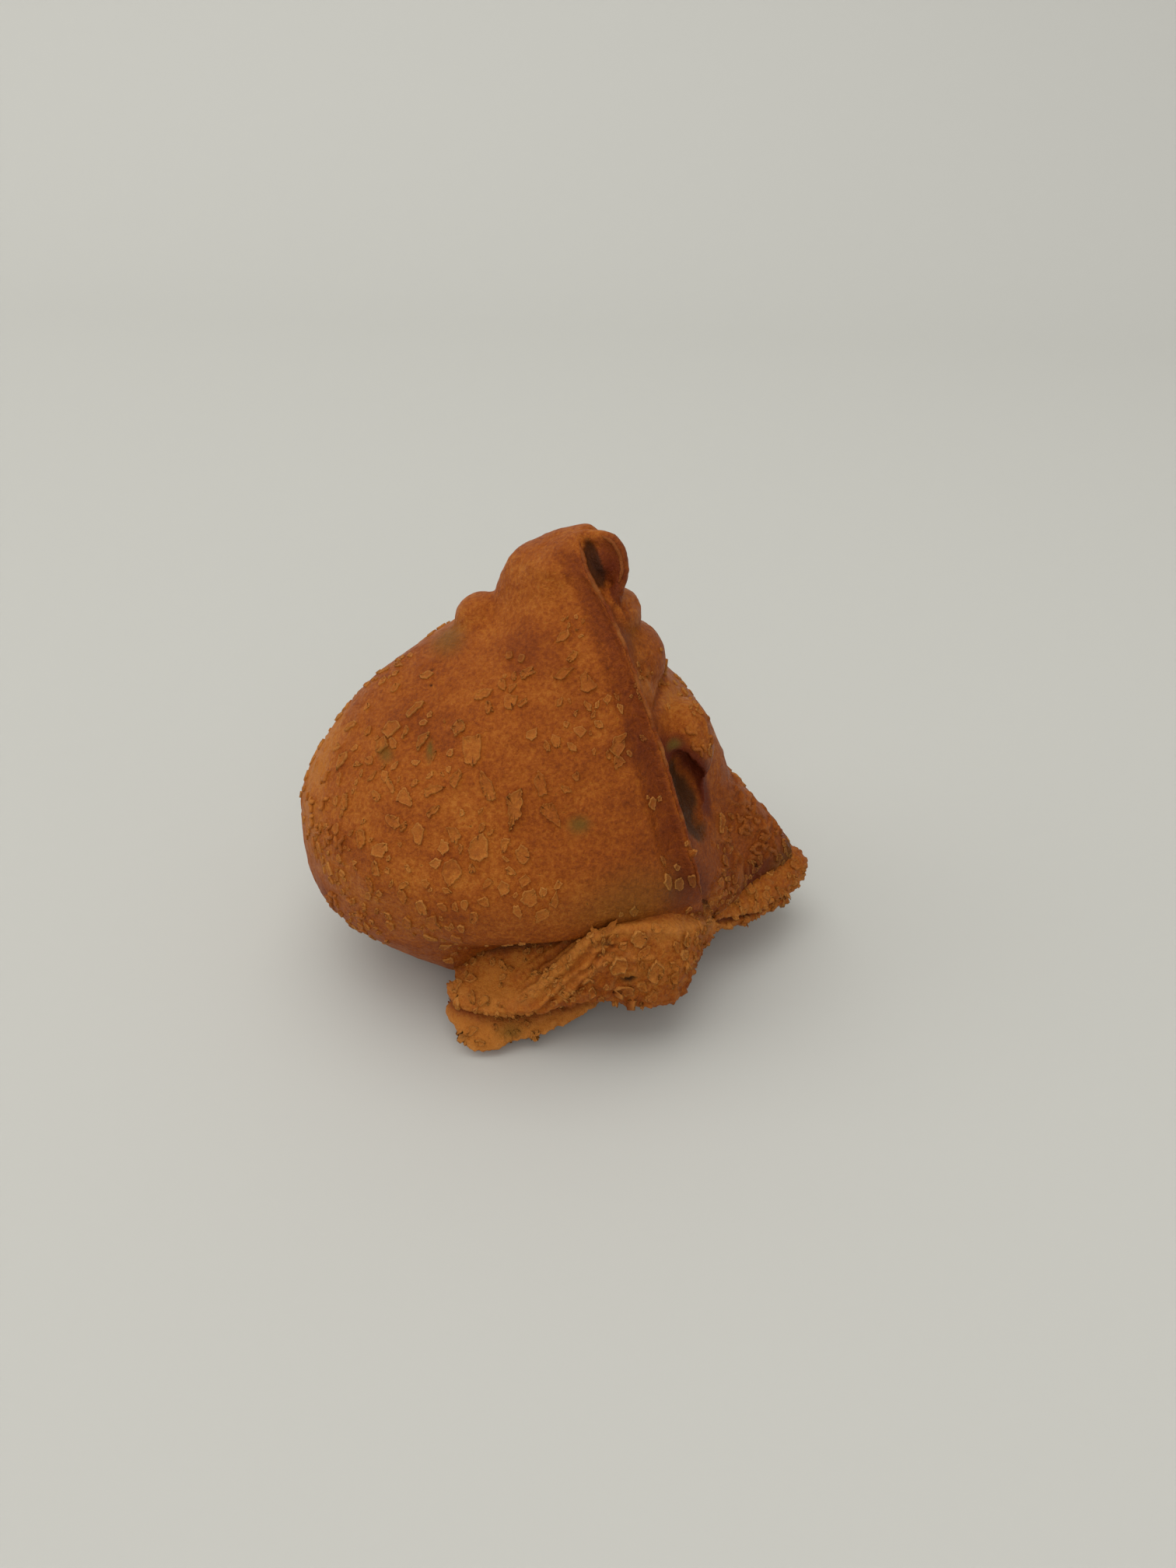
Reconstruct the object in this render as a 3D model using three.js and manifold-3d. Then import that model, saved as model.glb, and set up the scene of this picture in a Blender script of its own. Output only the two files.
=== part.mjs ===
// Samosa: one piece of fried dough folded into a tall, lopsided cone that stands on its filled base.
// Millimetres, Z up. The front, with the turned-up skirt, faces -Y, and the floor is z = 0.
import * as THREE from 'three';
import { mergeVertices } from 'three/addons/utils/BufferGeometryUtils.js';
import Module from 'manifold-3d';

// The wrapper's outlines, each point as [height, x, y].
const HEIGHT = 79.6;
const LEFT = [
  [0, -44, 1], [10, -47.4, 0.5], [22, -50, 0], [34, -49.6, 1], [43, -45.2, 2], [51, -38.6, 3],
  [58, -29, 5], [64, -19.6, 7], [67, -17, 8], [72.5, -14.8, 8], [77, -11, 8], [80, -9, 8],
];
const RIGHT = [
  [0, 20, 6], [4, 29, 8], [8, 40, 10], [11, 42, 10.5], [15, 40, 9.5], [28, 30.8, 6], [35, 25, 5],
  [40, 23.2, 5], [46, 20.4, 4.5], [50, 17.6, 4], [57, 11, 3.5], [64, 7.2, 3], [70, 4.4, 4], [80, 2, 6],
];
const FRONT = [
  [0, -11, -24], [12, -12.5, -27], [28, -13, -31.5], [35, -12, -30.5], [51, -9, -20.5],
  [64, -7, -8.5], [72, -6, -2.4], [80, -8, -1],
];
const BACK = [[0, -8, 35], [20, -8, 37.5], [34, -8, 35.5], [51, -7.5, 27], [64, -6, 19], [80, -2, 12]];
const SEAM = [
  [0, 17, -14], [12, 21.5, -13.5], [18, 21, -17], [28, 19.2, -21.8], [35, 17, -22], [51, 11.5, -17],
  [64, 6.4, -10.5], [70, 3, -6.3], [74, 0, -3.2], [77, -2.2, -1.8], [80, -6, -4],
];

// The four quarter ovals that join the outlines: degrees round each, and how full it is.
const BACK_RIGHT = { degrees: 48, fullness: 1.05 };
const BACK_LEFT = { degrees: 45, fullness: 1 };
const FRONT_LEFT = { degrees: [32, 62], fullness: 1, leaner: 1.35, from: 40, to: 62 };
const SEAM_BOW = { share: 0.66, bow: 0.08 };                  // the belly's swell before the seam
const WING_HOLLOW = { height: 30, spread: 14, depth: 0.05 };  // the wing's hollow after the seam

const BASE_CENTRE = [-9, 5];
const BASE_ROUND = 18;          // height over which the base curves in
const BASE_INSET = 0.46;        // share of its width that the base loses by the floor
const TIP_CENTRE = [-1.6, 6.6];
const TIP_ROUND = 5.5;
const ROUND_POWER = 1.5;        // 2 would make the base's and tip's curves circular

// The hollow over the skirt, where the filled belly turns under.
const TUCK = { height: 15.5, spread: 8.5, depth: 5.5, from: -22, full: -12, fading: 13, to: 19 };

// The lapped seam: a pressed band, a thin lip along its edge and the sheet under it.
const BAND = { width: 5.4, depth: 0.5, from: 28, full: 36, fading: 75.9, to: 78.4, edge: [1.2, 0.8] };
const LIP = { width: 1.1, height: 0.6, edge: [1.5, 0.6] };
const LAP = { drop: 1, width: 7, from: 12, full: 18 };
const FULL_RING = 60;           // the length round a ring from which the band and lap have their full width
const LEAST_RING = 0.05;        // the smallest share of that width, at the tip

// The turned-up skirt, from its left end to its right: the crease it springs from, its crest and its hem.
const SKIRT_CREASE = [
  [-22, -20, 10.2], [-17.5, -21.5, 14.4], [-11, -22.8, 17], [-6, -23.8, 19.2], [4, -25.4, 24.8],
  [13, -24, 27.4], [20.6, -16.4, 22],
];
const SKIRT_CREST = [
  [-23, -24.6, 9.6], [-19.8, -28.2, 10], [-12.8, -30.4, 10.4], [-7.4, -30, 13.4], [3.2, -29.4, 25.2],
  [15.4, -26.6, 24], [22.2, -14.6, 15.8],
];
const SKIRT_HEM = [
  [-22.8, -25.2, 8], [-19.8, -28.8, 7.4], [-12.6, -30.6, 7.4], [-7.4, -31, 9], [3, -30.8, 11.4],
  [15.2, -27.8, 9.2], [21.2, -14.4, 12.6],
];
const SKIRT_SWELL = 1.2;        // how far the skirt's face bulges out
const SKIRT_SWELL_AT = 0.45;    // where it does, from the crest down to the hem
const SKIRT_SHELF_AT = 0.6;     // where its top sags, from the crease out to the crest
const SKIRT_SAG = 0.06;         // share of the top's width
const SKIRT_THICK = 3;
const SKIRT_REACH = 7;          // how far its top is rooted in the wrapper
const SKIRT_FOOT = 10;          // how far its foot is

// The under layer that lies on the floor below the skirt's left half.
const TONGUE_TOP = [
  [-22.6, -25, 7], [-20.4, -28.6, 7.2], [-16, -29.6, 6.8], [-9.6, -28.8, 6.4], [-1.4, -26.2, 7.6],
  [5, -22.4, 9],
];
const TONGUE_TOE = [
  [-23.2, -27.4, 5.4], [-20.8, -31, 3.8], [-17.2, -33.4, 1.7], [-10, -31.2, 2.6], [-1.4, -28.4, 4.4],
  [5.2, -23.8, 7.6],
];
const TONGUE_THICK = 2.2;
const TONGUE_DIP = 0.7;         // how far its underside lies below its toe
const TONGUE_RISE = 0.8;        // how far its root rises again
const TONGUE_REACH = { top: 9, foot: 10 };
const TONGUE_SWELL = { at: 0.6, out: 0.5 };

// The sealed strip along the wing's lower edge, from the skirt to the corner.
const STRIP_EDGE = [
  [22.8, -12.8, 14], [28.2, -8.4, 12], [34.2, -3.4, 10.8], [39.4, 2.4, 10.8], [42.4, 8.2, 11.4],
  [41.4, 13.4, 11.4],
];
// Its section from the top down, each point as [depth behind the edge, share of the height], round the crack.
const STRIP_SECTION = [
  [6, 0.62], [2.6, 0.58], [0.5, 0.36], [0.1, 0.16], [1.1, 0], [0.2, -0.16], [0.8, -0.4], [3, -0.5], [6, -0.5],
];
const STRIP_TALL = 4.6;
const STRIP_TAPER = { from: 0.8, share: 0.45 };

// The hood that curls over the tip, and the folds under it on the right.
const HOOD = [
  [-3.2, 4, 78.6], [-1.2, 2.6, 78.9], [1.4, 1.4, 78.8], [3.2, 0.6, 77], [3.8, -0.4, 74.4],
  [3.5, -1.6, 72], [2.6, -3.4, 69.6],
];
const HOOD_RADIUS = 1.4;
const HOOD_SIDES = 6;
const HOOD_ACROSS = [0, 1, 0.2];
const HOOD_TAPER = { share: 0.7, power: 5 };
const FOLDS = [
  { at: [1.2, 3, 74.9], size: [2.8, 4, 4.2] },          // tongue inside the hood
  { at: [3.2, 1.2, 67], size: [4.6, 6.6, 3.8] },        // upper fold
  { at: [5.4, 0.6, 59], size: [6.7, 8.6, 6.4] },        // middle fold
  { at: [15.2, -4.6, 45.4], size: [5.6, 7.8, 8.6] },    // blown-up bulge beside the pocket
  { at: [-18, 7.6, 61.4], size: [5.2, 4.8, 4.4] },      // bud on the left shoulder
];
const POCKET = { at: [16, -14, 43.2], size: [3.9, 5.8, 7.6], lean: -20 };
const TIP_HOLE = { at: [0, -0.6, 75.6], size: [1.5, 3, 4], lean: -30 };

const COLOUR = 0xa9622a;
const ROUGHNESS = 0.62;

const SLICES = { wrapper: 65, skirt: 18, tongue: 11, strip: 13, hood: 9, fold: 14 };
const STACKS = { wrapper: 42, skirt: 27, tongue: 16, strip: 20, hood: 14, fold: 9 };
const GATHER = { height: 0.55, round: 0.8 };    // how far the wrapper's grid draws in towards its ends
const SAME_POINT = 1e-4;

const wasm = await Module();
wasm.setup();

const clamp = THREE.MathUtils.clamp;
const mix = THREE.MathUtils.lerp;
const smoothstep = (from, to, x) => {
  const t = clamp((x - from) / (to - from), 0, 1);
  return t * t * (3 - 2 * t);
};
const hump = (x) => (Math.abs(x) < 1 ? (1 - x * x) ** 2 : 0);
// A rise from 0 to 1 that starts upright and ends level.
const roundIn = (t) => (1 - (1 - clamp(t, 0, 1)) ** ROUND_POWER) ** (1 / ROUND_POWER);
// Even steps drawn together towards both ends.
const gather = (t, share) => t - share * Math.sin(2 * Math.PI * t) / (2 * Math.PI);

const vector = (point) => new THREE.Vector3(...point);
const curveThrough = (points, closed) => new THREE.CatmullRomCurve3(points, closed, 'catmullrom');
const lineThrough = (points) => curveThrough(points.map(vector), false);

// A point of an outline at a height, on a cubic through the outline's own points.
function outlineAt(outline, height) {
  let i = 0;
  while (i < outline.length - 2 && height > outline[i + 1][0]) i += 1;
  const slope = (k, axis) => {
    const before = outline[Math.max(k - 1, 0)];
    const after = outline[Math.min(k + 1, outline.length - 1)];
    return (after[axis] - before[axis]) / (after[0] - before[0]);
  };
  const low = outline[i];
  const high = outline[i + 1];
  const span = high[0] - low[0];
  const t = (height - low[0]) / span;
  const cubic = (axis) => {
    const places = (2 * t ** 3 - 3 * t ** 2 + 1) * low[axis] + (3 * t ** 2 - 2 * t ** 3) * high[axis];
    const slopes = (t ** 3 - 2 * t ** 2 + t) * slope(i, axis) + (t ** 3 - t ** 2) * slope(i + 1, axis);
    return places + span * slopes;
  };
  return new THREE.Vector3(cubic(1), cubic(2), height);
}

// A point of the quarter oval from a side outline to the front or back outline.
function quarter(side, end, degrees, fullness) {
  const angle = THREE.MathUtils.degToRad(degrees);
  const x = mix(end.x, side.x, Math.cos(angle) ** fullness);
  const y = mix(side.y, end.y, Math.sin(angle) ** fullness);
  return new THREE.Vector3(x, y, side.z);
}

// A point part of the way from a to b, pushed off the line to one side by a share of its length.
function between(a, b, share, bow) {
  const along = b.clone().sub(a);
  const aside = new THREE.Vector3(along.y, -along.x, 0);
  return a.clone().addScaledVector(along, share).addScaledVector(aside, bow);
}

// One level ring of the wrapper, starting and ending at the seam.
function wrapperRing(height) {
  const [left, right, front, back, seam] = [LEFT, RIGHT, FRONT, BACK, SEAM].map((o) => outlineAt(o, height));
  const leaner = smoothstep(FRONT_LEFT.from, FRONT_LEFT.to, height);
  const lean = mix(FRONT_LEFT.fullness, FRONT_LEFT.leaner, leaner);
  const hollow = WING_HOLLOW.depth * hump((height - WING_HOLLOW.height) / WING_HOLLOW.spread);
  const ring = [
    seam,
    between(seam, right, 0.5, -hollow),
    right,
    quarter(right, back, BACK_RIGHT.degrees, BACK_RIGHT.fullness),
    back,
    quarter(left, back, BACK_LEFT.degrees, BACK_LEFT.fullness),
    left,
    ...FRONT_LEFT.degrees.map((degrees) => quarter(left, front, degrees, lean)),
    front,
    between(front, seam, SEAM_BOW.share, SEAM_BOW.bow),
    seam.clone(),
  ];
  const base = 1 - BASE_INSET * (1 - roundIn(height / BASE_ROUND));
  const tip = roundIn((HEIGHT - height) / TIP_ROUND);
  const tuck = TUCK.depth * hump((height - TUCK.height) / TUCK.spread);
  for (const p of ring) {
    p.set(mix(BASE_CENTRE[0], p.x, base), mix(BASE_CENTRE[1], p.y, base), height);
    p.set(mix(TIP_CENTRE[0], p.x, tip), mix(TIP_CENTRE[1], p.y, tip), height);
    const over = smoothstep(TUCK.from, TUCK.full, p.x) * (1 - smoothstep(TUCK.fading, TUCK.to, p.x));
    if (p.y < 0) p.y += tuck * over;
  }
  return curveThrough(ring, false);
}

// How far a ring's point is pushed out or in beside the seam, by its distance from the seam on either side.
function lapOffset(height, before, after) {
  const share = clamp((before + after) / FULL_RING, LEAST_RING, 1);
  const top = share * (1 - smoothstep(BAND.fading, BAND.to, height));
  if (before < after) {
    return -LAP.drop * hump(before / (LAP.width * share)) * top * smoothstep(LAP.from, LAP.full, height);
  }
  const band = -BAND.depth * smoothstep(...BAND.edge, after / (BAND.width * share));
  const lip = (BAND.depth + LIP.height) * smoothstep(...LIP.edge, after / LIP.width);
  return (band + lip) * top * smoothstep(BAND.from, BAND.full, height);
}

// The manifold solid of a closed geometry, its doubled vertices and flattened triangles dropped.
function solidOf(geometry) {
  geometry.deleteAttribute('normal');
  geometry.deleteAttribute('uv');
  const merged = mergeVertices(geometry, SAME_POINT);
  const corners = merged.index.array;
  const kept = [];
  for (let i = 0; i < corners.length; i += 3) {
    const [a, b, c] = corners.slice(i, i + 3);
    if (a !== b && b !== c && c !== a) kept.push(a, b, c);
  }
  const vertProperties = new Float32Array(merged.attributes.position.array);
  const triVerts = new Uint32Array(kept);
  return new wasm.Manifold(new wasm.Mesh({ numProp: 3, vertProperties, triVerts }));
}

// The solid inside rows of points, each row a closed loop, and the two points that shut its ends.
function solidThrough(rows, ends) {
  const slices = rows[0].length;
  const stacks = rows.length + 1;
  const skin = new THREE.PlaneGeometry(1, 1, slices, stacks);
  const spots = skin.attributes.position;
  for (let k = 0; k < spots.count; k += 1) {
    const i = Math.round((spots.getX(k) + 0.5) * slices);
    const j = Math.round((spots.getY(k) + 0.5) * stacks);
    let point = j === 0 ? ends[0] : ends[1];
    if (j > 0 && j < stacks) point = rows[j - 1][i % slices];
    spots.setXYZ(k, point.x, point.y, point.z);
  }
  return solidOf(skin);
}

function makeWrapper() {
  const slices = SLICES.wrapper;
  const stacks = STACKS.wrapper;
  const rows = [];
  for (let j = 0; j <= stacks; j += 1) {
    const height = HEIGHT * gather(j / stacks, GATHER.height);
    const ring = wrapperRing(height);
    const points = [];
    const lengths = [];
    for (let i = 0; i < slices; i += 1) {
      points.push(ring.getPoint(gather(i / (slices - 1), GATHER.round)));
      lengths.push(i ? lengths[i - 1] + points[i].distanceTo(points[i - 1]) : 0);
    }
    const whole = lengths[slices - 1];
    rows.push(points.map((p, i) => {
      const along = points[Math.min(i + 1, slices - 1)].clone().sub(points[Math.max(i - 1, 0)]);
      const outward = new THREE.Vector3(along.y, -along.x, 0).normalize();
      return p.clone().addScaledVector(outward, lapOffset(height, lengths[i], whole - lengths[i]));
    }));
  }
  return solidThrough(rows, [vector([...BASE_CENTRE, 0]), vector([...TIP_CENTRE, HEIGHT])]);
}

// A solid swept along v: `sectionAt` gives the points of its closed section, and both ends are shut.
function sweep(slices, stacks, sectionAt) {
  const rows = [];
  for (let j = 0; j <= stacks; j += 1) {
    const loop = curveThrough(sectionAt(j / stacks), true);
    rows.push(Array.from({ length: slices }, (_, i) => loop.getPoint(i / slices)));
  }
  const middle = (row) => row.reduce((sum, p) => sum.add(p), new THREE.Vector3()).divideScalar(slices);
  return solidThrough(rows, [middle(rows[0]), middle(rows[stacks])]);
}

// A point moved level towards the middle of the base, from a front point that sets the direction.
function towardsMiddle(point, front, distance) {
  const inward = new THREE.Vector3(BASE_CENTRE[0] - front.x, BASE_CENTRE[1] - front.y, 0).normalize();
  return point.clone().addScaledVector(inward, distance);
}

function makeSkirt() {
  const [crease, crest, hem] = [SKIRT_CREASE, SKIRT_CREST, SKIRT_HEM].map(lineThrough);
  return sweep(SLICES.skirt, STACKS.skirt, (v) => {
    const [fold, top, low] = [crease, crest, hem].map((line) => line.getPoint(v));
    const face = top.clone().lerp(low, SKIRT_SWELL_AT);
    const shelf = fold.clone().lerp(top, SKIRT_SHELF_AT);
    shelf.z -= SKIRT_SAG * fold.distanceTo(top);
    return [
      towardsMiddle(fold, low, SKIRT_REACH),
      fold,
      shelf,
      top,
      towardsMiddle(face, low, -SKIRT_SWELL),
      low,
      towardsMiddle(low, low, SKIRT_THICK),
      towardsMiddle(low, low, SKIRT_FOOT),
    ];
  });
}

function makeTongue() {
  const [upper, lower] = [TONGUE_TOP, TONGUE_TOE].map(lineThrough);
  return sweep(SLICES.tongue, STACKS.tongue, (v) => {
    const [top, toe] = [upper, lower].map((line) => line.getPoint(v));
    const under = towardsMiddle(toe, toe, TONGUE_THICK);
    under.z -= TONGUE_DIP;
    const root = towardsMiddle(under, toe, TONGUE_REACH.foot);
    root.z += TONGUE_RISE;
    const face = top.clone().lerp(toe, TONGUE_SWELL.at);
    return [
      towardsMiddle(top, toe, TONGUE_REACH.top),
      top,
      towardsMiddle(face, toe, -TONGUE_SWELL.out),
      toe,
      under,
      root,
    ];
  });
}

function makeStrip() {
  const edge = lineThrough(STRIP_EDGE);
  return sweep(SLICES.strip, STACKS.strip, (v) => {
    const middle = edge.getPoint(v);
    const tall = STRIP_TALL * (1 - STRIP_TAPER.share * smoothstep(STRIP_TAPER.from, 1, v));
    return STRIP_SECTION.map(([depth, share]) => {
      const point = towardsMiddle(middle, middle, depth);
      point.z += share * tall;
      return point;
    });
  });
}

function makeHood() {
  const path = lineThrough(HOOD);
  return sweep(SLICES.hood, STACKS.hood, (v) => {
    const middle = path.getPoint(v);
    const along = path.getTangent(v);
    const across = vector(HOOD_ACROSS).cross(along).normalize();
    const out = along.clone().cross(across);
    const radius = HOOD_RADIUS * Math.sqrt(1 - HOOD_TAPER.share * Math.abs(2 * v - 1) ** HOOD_TAPER.power);
    return Array.from({ length: HOOD_SIDES }, (_, k) => {
      const angle = 2 * Math.PI * k / HOOD_SIDES;
      const point = middle.clone().addScaledVector(across, radius * Math.cos(angle));
      return point.addScaledVector(out, radius * Math.sin(angle));
    });
  });
}

function makeBall({ at, size, lean = 0 }) {
  const ball = new THREE.SphereGeometry(1, SLICES.fold, STACKS.fold);
  ball.rotateX(Math.PI / 2);
  ball.scale(...size);
  ball.rotateY(THREE.MathUtils.degToRad(lean));
  ball.translate(...at);
  return solidOf(ball);
}

// The solid's geometry, its middle in plan moved to the origin.
function centredGeometry(solid) {
  const { vertProperties, triVerts } = solid.getMesh();
  const geometry = new THREE.BufferGeometry();
  geometry.setAttribute('position', new THREE.BufferAttribute(vertProperties, 3));
  geometry.setIndex(new THREE.BufferAttribute(triVerts, 1));
  geometry.computeVertexNormals();
  geometry.computeBoundingBox();
  const middle = geometry.boundingBox.getCenter(new THREE.Vector3());
  geometry.translate(-middle.x, -middle.y, 0);
  return geometry;
}

function makeSamosa() {
  const hollowed = makeWrapper().subtract(makeBall(TIP_HOLE));
  const pieces = [makeSkirt(), makeTongue(), makeStrip(), makeHood(), ...FOLDS.map(makeBall)];
  const whole = pieces.reduce((sum, piece) => sum.add(piece), hollowed);
  const geometry = centredGeometry(whole.subtract(makeBall(POCKET)));
  const dough = new THREE.MeshStandardMaterial({ color: COLOUR, roughness: ROUGHNESS, metalness: 0 });
  const mesh = new THREE.Mesh(geometry, dough);
  mesh.name = 'samosa';
  return mesh;
}

const samosa = new THREE.Group();
samosa.add(makeSamosa());
export default samosa;
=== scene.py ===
"""A fried samosa as a Blender add-on: folded dough, its skirt and its sealed edge, on a plain stage."""
import math

import bmesh
import bpy
import numpy as np
from mathutils import Matrix, Vector
from mathutils.bvhtree import BVHTree


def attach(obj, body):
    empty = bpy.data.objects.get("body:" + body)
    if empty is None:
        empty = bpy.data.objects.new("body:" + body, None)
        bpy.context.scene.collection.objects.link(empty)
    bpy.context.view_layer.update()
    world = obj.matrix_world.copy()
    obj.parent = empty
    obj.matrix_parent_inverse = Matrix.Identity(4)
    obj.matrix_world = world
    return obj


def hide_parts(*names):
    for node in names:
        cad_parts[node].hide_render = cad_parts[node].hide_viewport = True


bl_info = {
    "name": "Samosa",
    "version": (1, 0, 0),
    "blender": (4, 5, 0),
    "location": "View3D > Sidebar > Samosa",
    "description": "Builds one fried samosa from its folds, blisters and browned dough",
    "category": "Add Mesh",
}

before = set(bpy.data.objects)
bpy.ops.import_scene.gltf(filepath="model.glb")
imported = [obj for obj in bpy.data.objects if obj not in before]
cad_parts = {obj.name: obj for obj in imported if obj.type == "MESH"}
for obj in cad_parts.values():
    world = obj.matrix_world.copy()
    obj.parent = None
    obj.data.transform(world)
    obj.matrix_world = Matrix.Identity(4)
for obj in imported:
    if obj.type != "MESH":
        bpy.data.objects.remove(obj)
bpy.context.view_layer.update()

MM = 0.001
# The outlines below are laid out round the filled belly; this is the part's middle in those millimetres.
MIDDLE = np.array([-4.058, 2.102, 0.0])

# ---------------------------------------------------------------- the folded shape, in millimetres
HEIGHT = 79.6
# The wrapper's outlines, lowest point first: height, across and depth.
LEFT = [
    (0, -44, 1), (10, -47.4, 0.5), (22, -50, 0), (34, -49.6, 1), (43, -45.2, 2), (51, -38.6, 3),
    (58, -29, 5), (64, -19.6, 7), (67, -17, 8), (72.5, -14.8, 8), (77, -11, 8), (80, -9, 8),
]
RIGHT = [
    (0, 20, 6), (4, 29, 8), (8, 40, 10), (11, 42, 10.5), (15, 40, 9.5), (28, 30.8, 6), (35, 25, 5),
    (40, 23.2, 5), (46, 20.4, 4.5), (50, 17.6, 4), (57, 11, 3.5), (64, 7.2, 3), (70, 4.4, 4), (80, 2, 6),
]
FRONT = [
    (0, -11, -24), (12, -12.5, -27), (28, -13, -31.5), (35, -12, -30.5), (51, -9, -20.5),
    (64, -7, -8.5), (72, -6, -2.4), (80, -8, -1),
]
BACK = [(0, -8, 35), (20, -8, 37.5), (34, -8, 35.5), (51, -7.5, 27), (64, -6, 19), (80, -2, 12)]
SEAM = [
    (0, 17, -14), (12, 21.5, -13.5), (18, 21, -17), (28, 19.2, -21.8), (35, 17, -22), (51, 11.5, -17),
    (64, 6.4, -10.5), (70, 3, -6.3), (74, 0, -3.2), (77, -2.2, -1.8), (80, -6, -4),
]
# How the wrapper bends between its outlines.
SEAM_BOW = (0.66, 0.08)
WING_HOLLOW = (30.0, 14.0, 0.05)
BASE_CENTRE = (-9.0, 5.0)
BASE_ROUND = 18.0
BASE_INSET = 0.46
TIP_CENTRE = (-1.6, 6.6)
TIP_ROUND = 5.5
TUCK = {"height": 15.5, "spread": 8.5, "depth": 5.5, "from": -22, "full": -12, "fading": 13, "to": 19}
# The lap: how far the sheet beside it is sunk, then the width and depth of its pressed band and of its lip.
LAP_SUNK, BAND_WIDE, BAND_DEEP, LIP_WIDE, LIP_TALL = 1.9, 5.4, 0.75, 1.4, 1.35
WRAPPER_STEPS = (700, 420)
LIP_STEPS = (700, 900)
LIP_FROM, LIP_TO, LIP_RADIUS = 27.5, 78.4, 0.32

# Lines along the skirt, the under layer and the sealed edge, left to right: across, depth and height.
SKIRT_CREASE = [
    (-22, -20, 10.2), (-17.5, -21.5, 14.4), (-11, -22.8, 17), (-6, -23.8, 19.2), (4, -25.4, 24.8),
    (13, -24, 27.4), (20.6, -16.4, 22),
]
SKIRT_CREST = [
    (-23, -24.6, 9.6), (-19.8, -28.2, 10), (-12.8, -30.4, 10.4), (-7.4, -30, 13.4), (3.2, -29.4, 25.2),
    (15.4, -26.6, 24), (22.2, -14.6, 15.8),
]
SKIRT_HEM = [
    (-22.8, -25.2, 8), (-19.8, -28.8, 7.4), (-12.6, -30.6, 7.4), (-7.4, -31, 9), (3, -30.8, 11.4),
    (15.2, -27.8, 9.2), (21.2, -14.4, 12.6),
]
SKIRT_ARC = [(-6.5, -28.8, 6.5), (-1, -31, 17), (4.4, -30.9, 21), (11, -30.2, 20.4)]
UNDER_TOP = [
    (-22.6, -25, 7), (-20.4, -28.6, 7.2), (-16, -29.6, 6.8), (-9.6, -28.8, 6.4), (-1.4, -26.2, 7.6),
    (5, -22.4, 9),
]
UNDER_TOE = [
    (-23.2, -27.4, 5.4), (-20.8, -31, 3.8), (-17.2, -33.4, 1.7), (-10, -31.2, 2.6), (-1.4, -28.4, 4.4),
    (5.2, -23.8, 7.6),
]
STRIP_EDGE = [
    (22.8, -12.8, 14), (28.2, -8.4, 12), (34.2, -3.4, 10.8), (39.4, 2.4, 10.8), (42.4, 8.2, 11.4),
    (41.4, 13.4, 11.4),
]
# The sealed edge's section: how far in, and how high as a share of STRIP_TALL.
STRIP_SECTION = [
    (6, 1.30), (3.0, 1.02), (0.9, 0.58), (0.1, 0.18), (1.3, 0), (0.3, -0.16), (0.9, -0.4), (3, -0.5),
    (6, -0.5),
]
STRIP_TALL = 4.6
LOOSE_FLAKE = [(0.8, -29.0, 25.9), (2.0, -29.7, 25.4), (3.5, -29.6, 26.0), (5.2, -28.6, 27.2)]
LOOSE_THREAD = [(3.9, -30.3, 24.6), (4.1, -30.9, 25.4), (4.6, -31.0, 26.1)]
HOOD = [
    (-3.2, 4, 78.6), (-1.0, 2.6, 79), (1.7, 1.5, 79), (3.5, 0.7, 77.5), (4.1, -0.3, 74.8),
    (3.7, -1.6, 72.2), (2.6, -3.4, 69.6),
]
# Balls that swell out of the wrapper: middle and size. The last one is the bud.
FOLDS = [
    ((1.2, 3, 74.9), (2.8, 4, 4.2)),
    ((3.2, 1.2, 67), (4.6, 6.6, 3.8)),
    ((5.4, 0.6, 59), (6.7, 8.6, 6.4)),
    ((15.2, -4.6, 45.4), (5.6, 7.8, 8.6)),
    ((-18.6, 7.2, 62.2), (5.2, 5.0, 4.6)),
]
# Balls cut out of it: middle, size and lean in degrees.
POCKET = ((17.2, -13.6, 41.0), (3.1, 7.0, 9.0), -26)
GAP = ((16.2, -17.2, 41), (0.9, 4.2, 7.2), -19)
TIP_HOLE = ((-0.5, -0.8, 76), (1.0, 3, 3.6), -26)

# ---------------------------------------------------------------- what sits on the crust
# The looks painted on the dough. The light look is the paler colour of flakes and thin edges, and painted
# highlight on flake rims and the lip; the dark look is painted shade.
LOOKS = ("browning", "red", "green", "light", "dark")
# Patches of flakes: across and height as seen from the front, spread, how many, smallest and largest radius.
WRAPPER_FLAKES = [
    ((-12, 60), 3, 8, (0.7, 1.9)), ((-3, 62), 3, 5, (1.1, 2.3)), ((-30, 50), 6, 18, (0.6, 2.0)),
    ((-17, 50), 3, 6, (1.8, 3.0)), ((-7, 44), 3, 5, (2.0, 3.4)), ((-28, 45), 4, 12, (0.8, 2.6)),
    ((-39, 43), 5, 14, (0.5, 1.8)), ((-33, 36), 5, 24, (0.5, 2.0)), ((-18, 40), 5, 15, (0.5, 2.3)),
    ((-10, 35), 4, 12, (0.5, 1.9)), ((-24, 28), 6, 40, (0.5, 1.9)), ((-43, 30), 5, 20, (0.3, 1.2)),
    ((-38, 19), 5, 18, (0.3, 1.2)), ((4, 53), 2, 22, (0.6, 2.0)), ((-1, 57), 3, 10, (0.4, 1.3)),
    ((-3, 68), 2, 6, (0.25, 0.6)), ((7, 60), 2, 10, (0.25, 0.7)), ((24, 20), 2, 16, (0.4, 1.3)),
    ((30, 19), 2, 10, (0.4, 1.2)), ((36, 17), 2, 10, (0.4, 1.2)),
]
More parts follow.
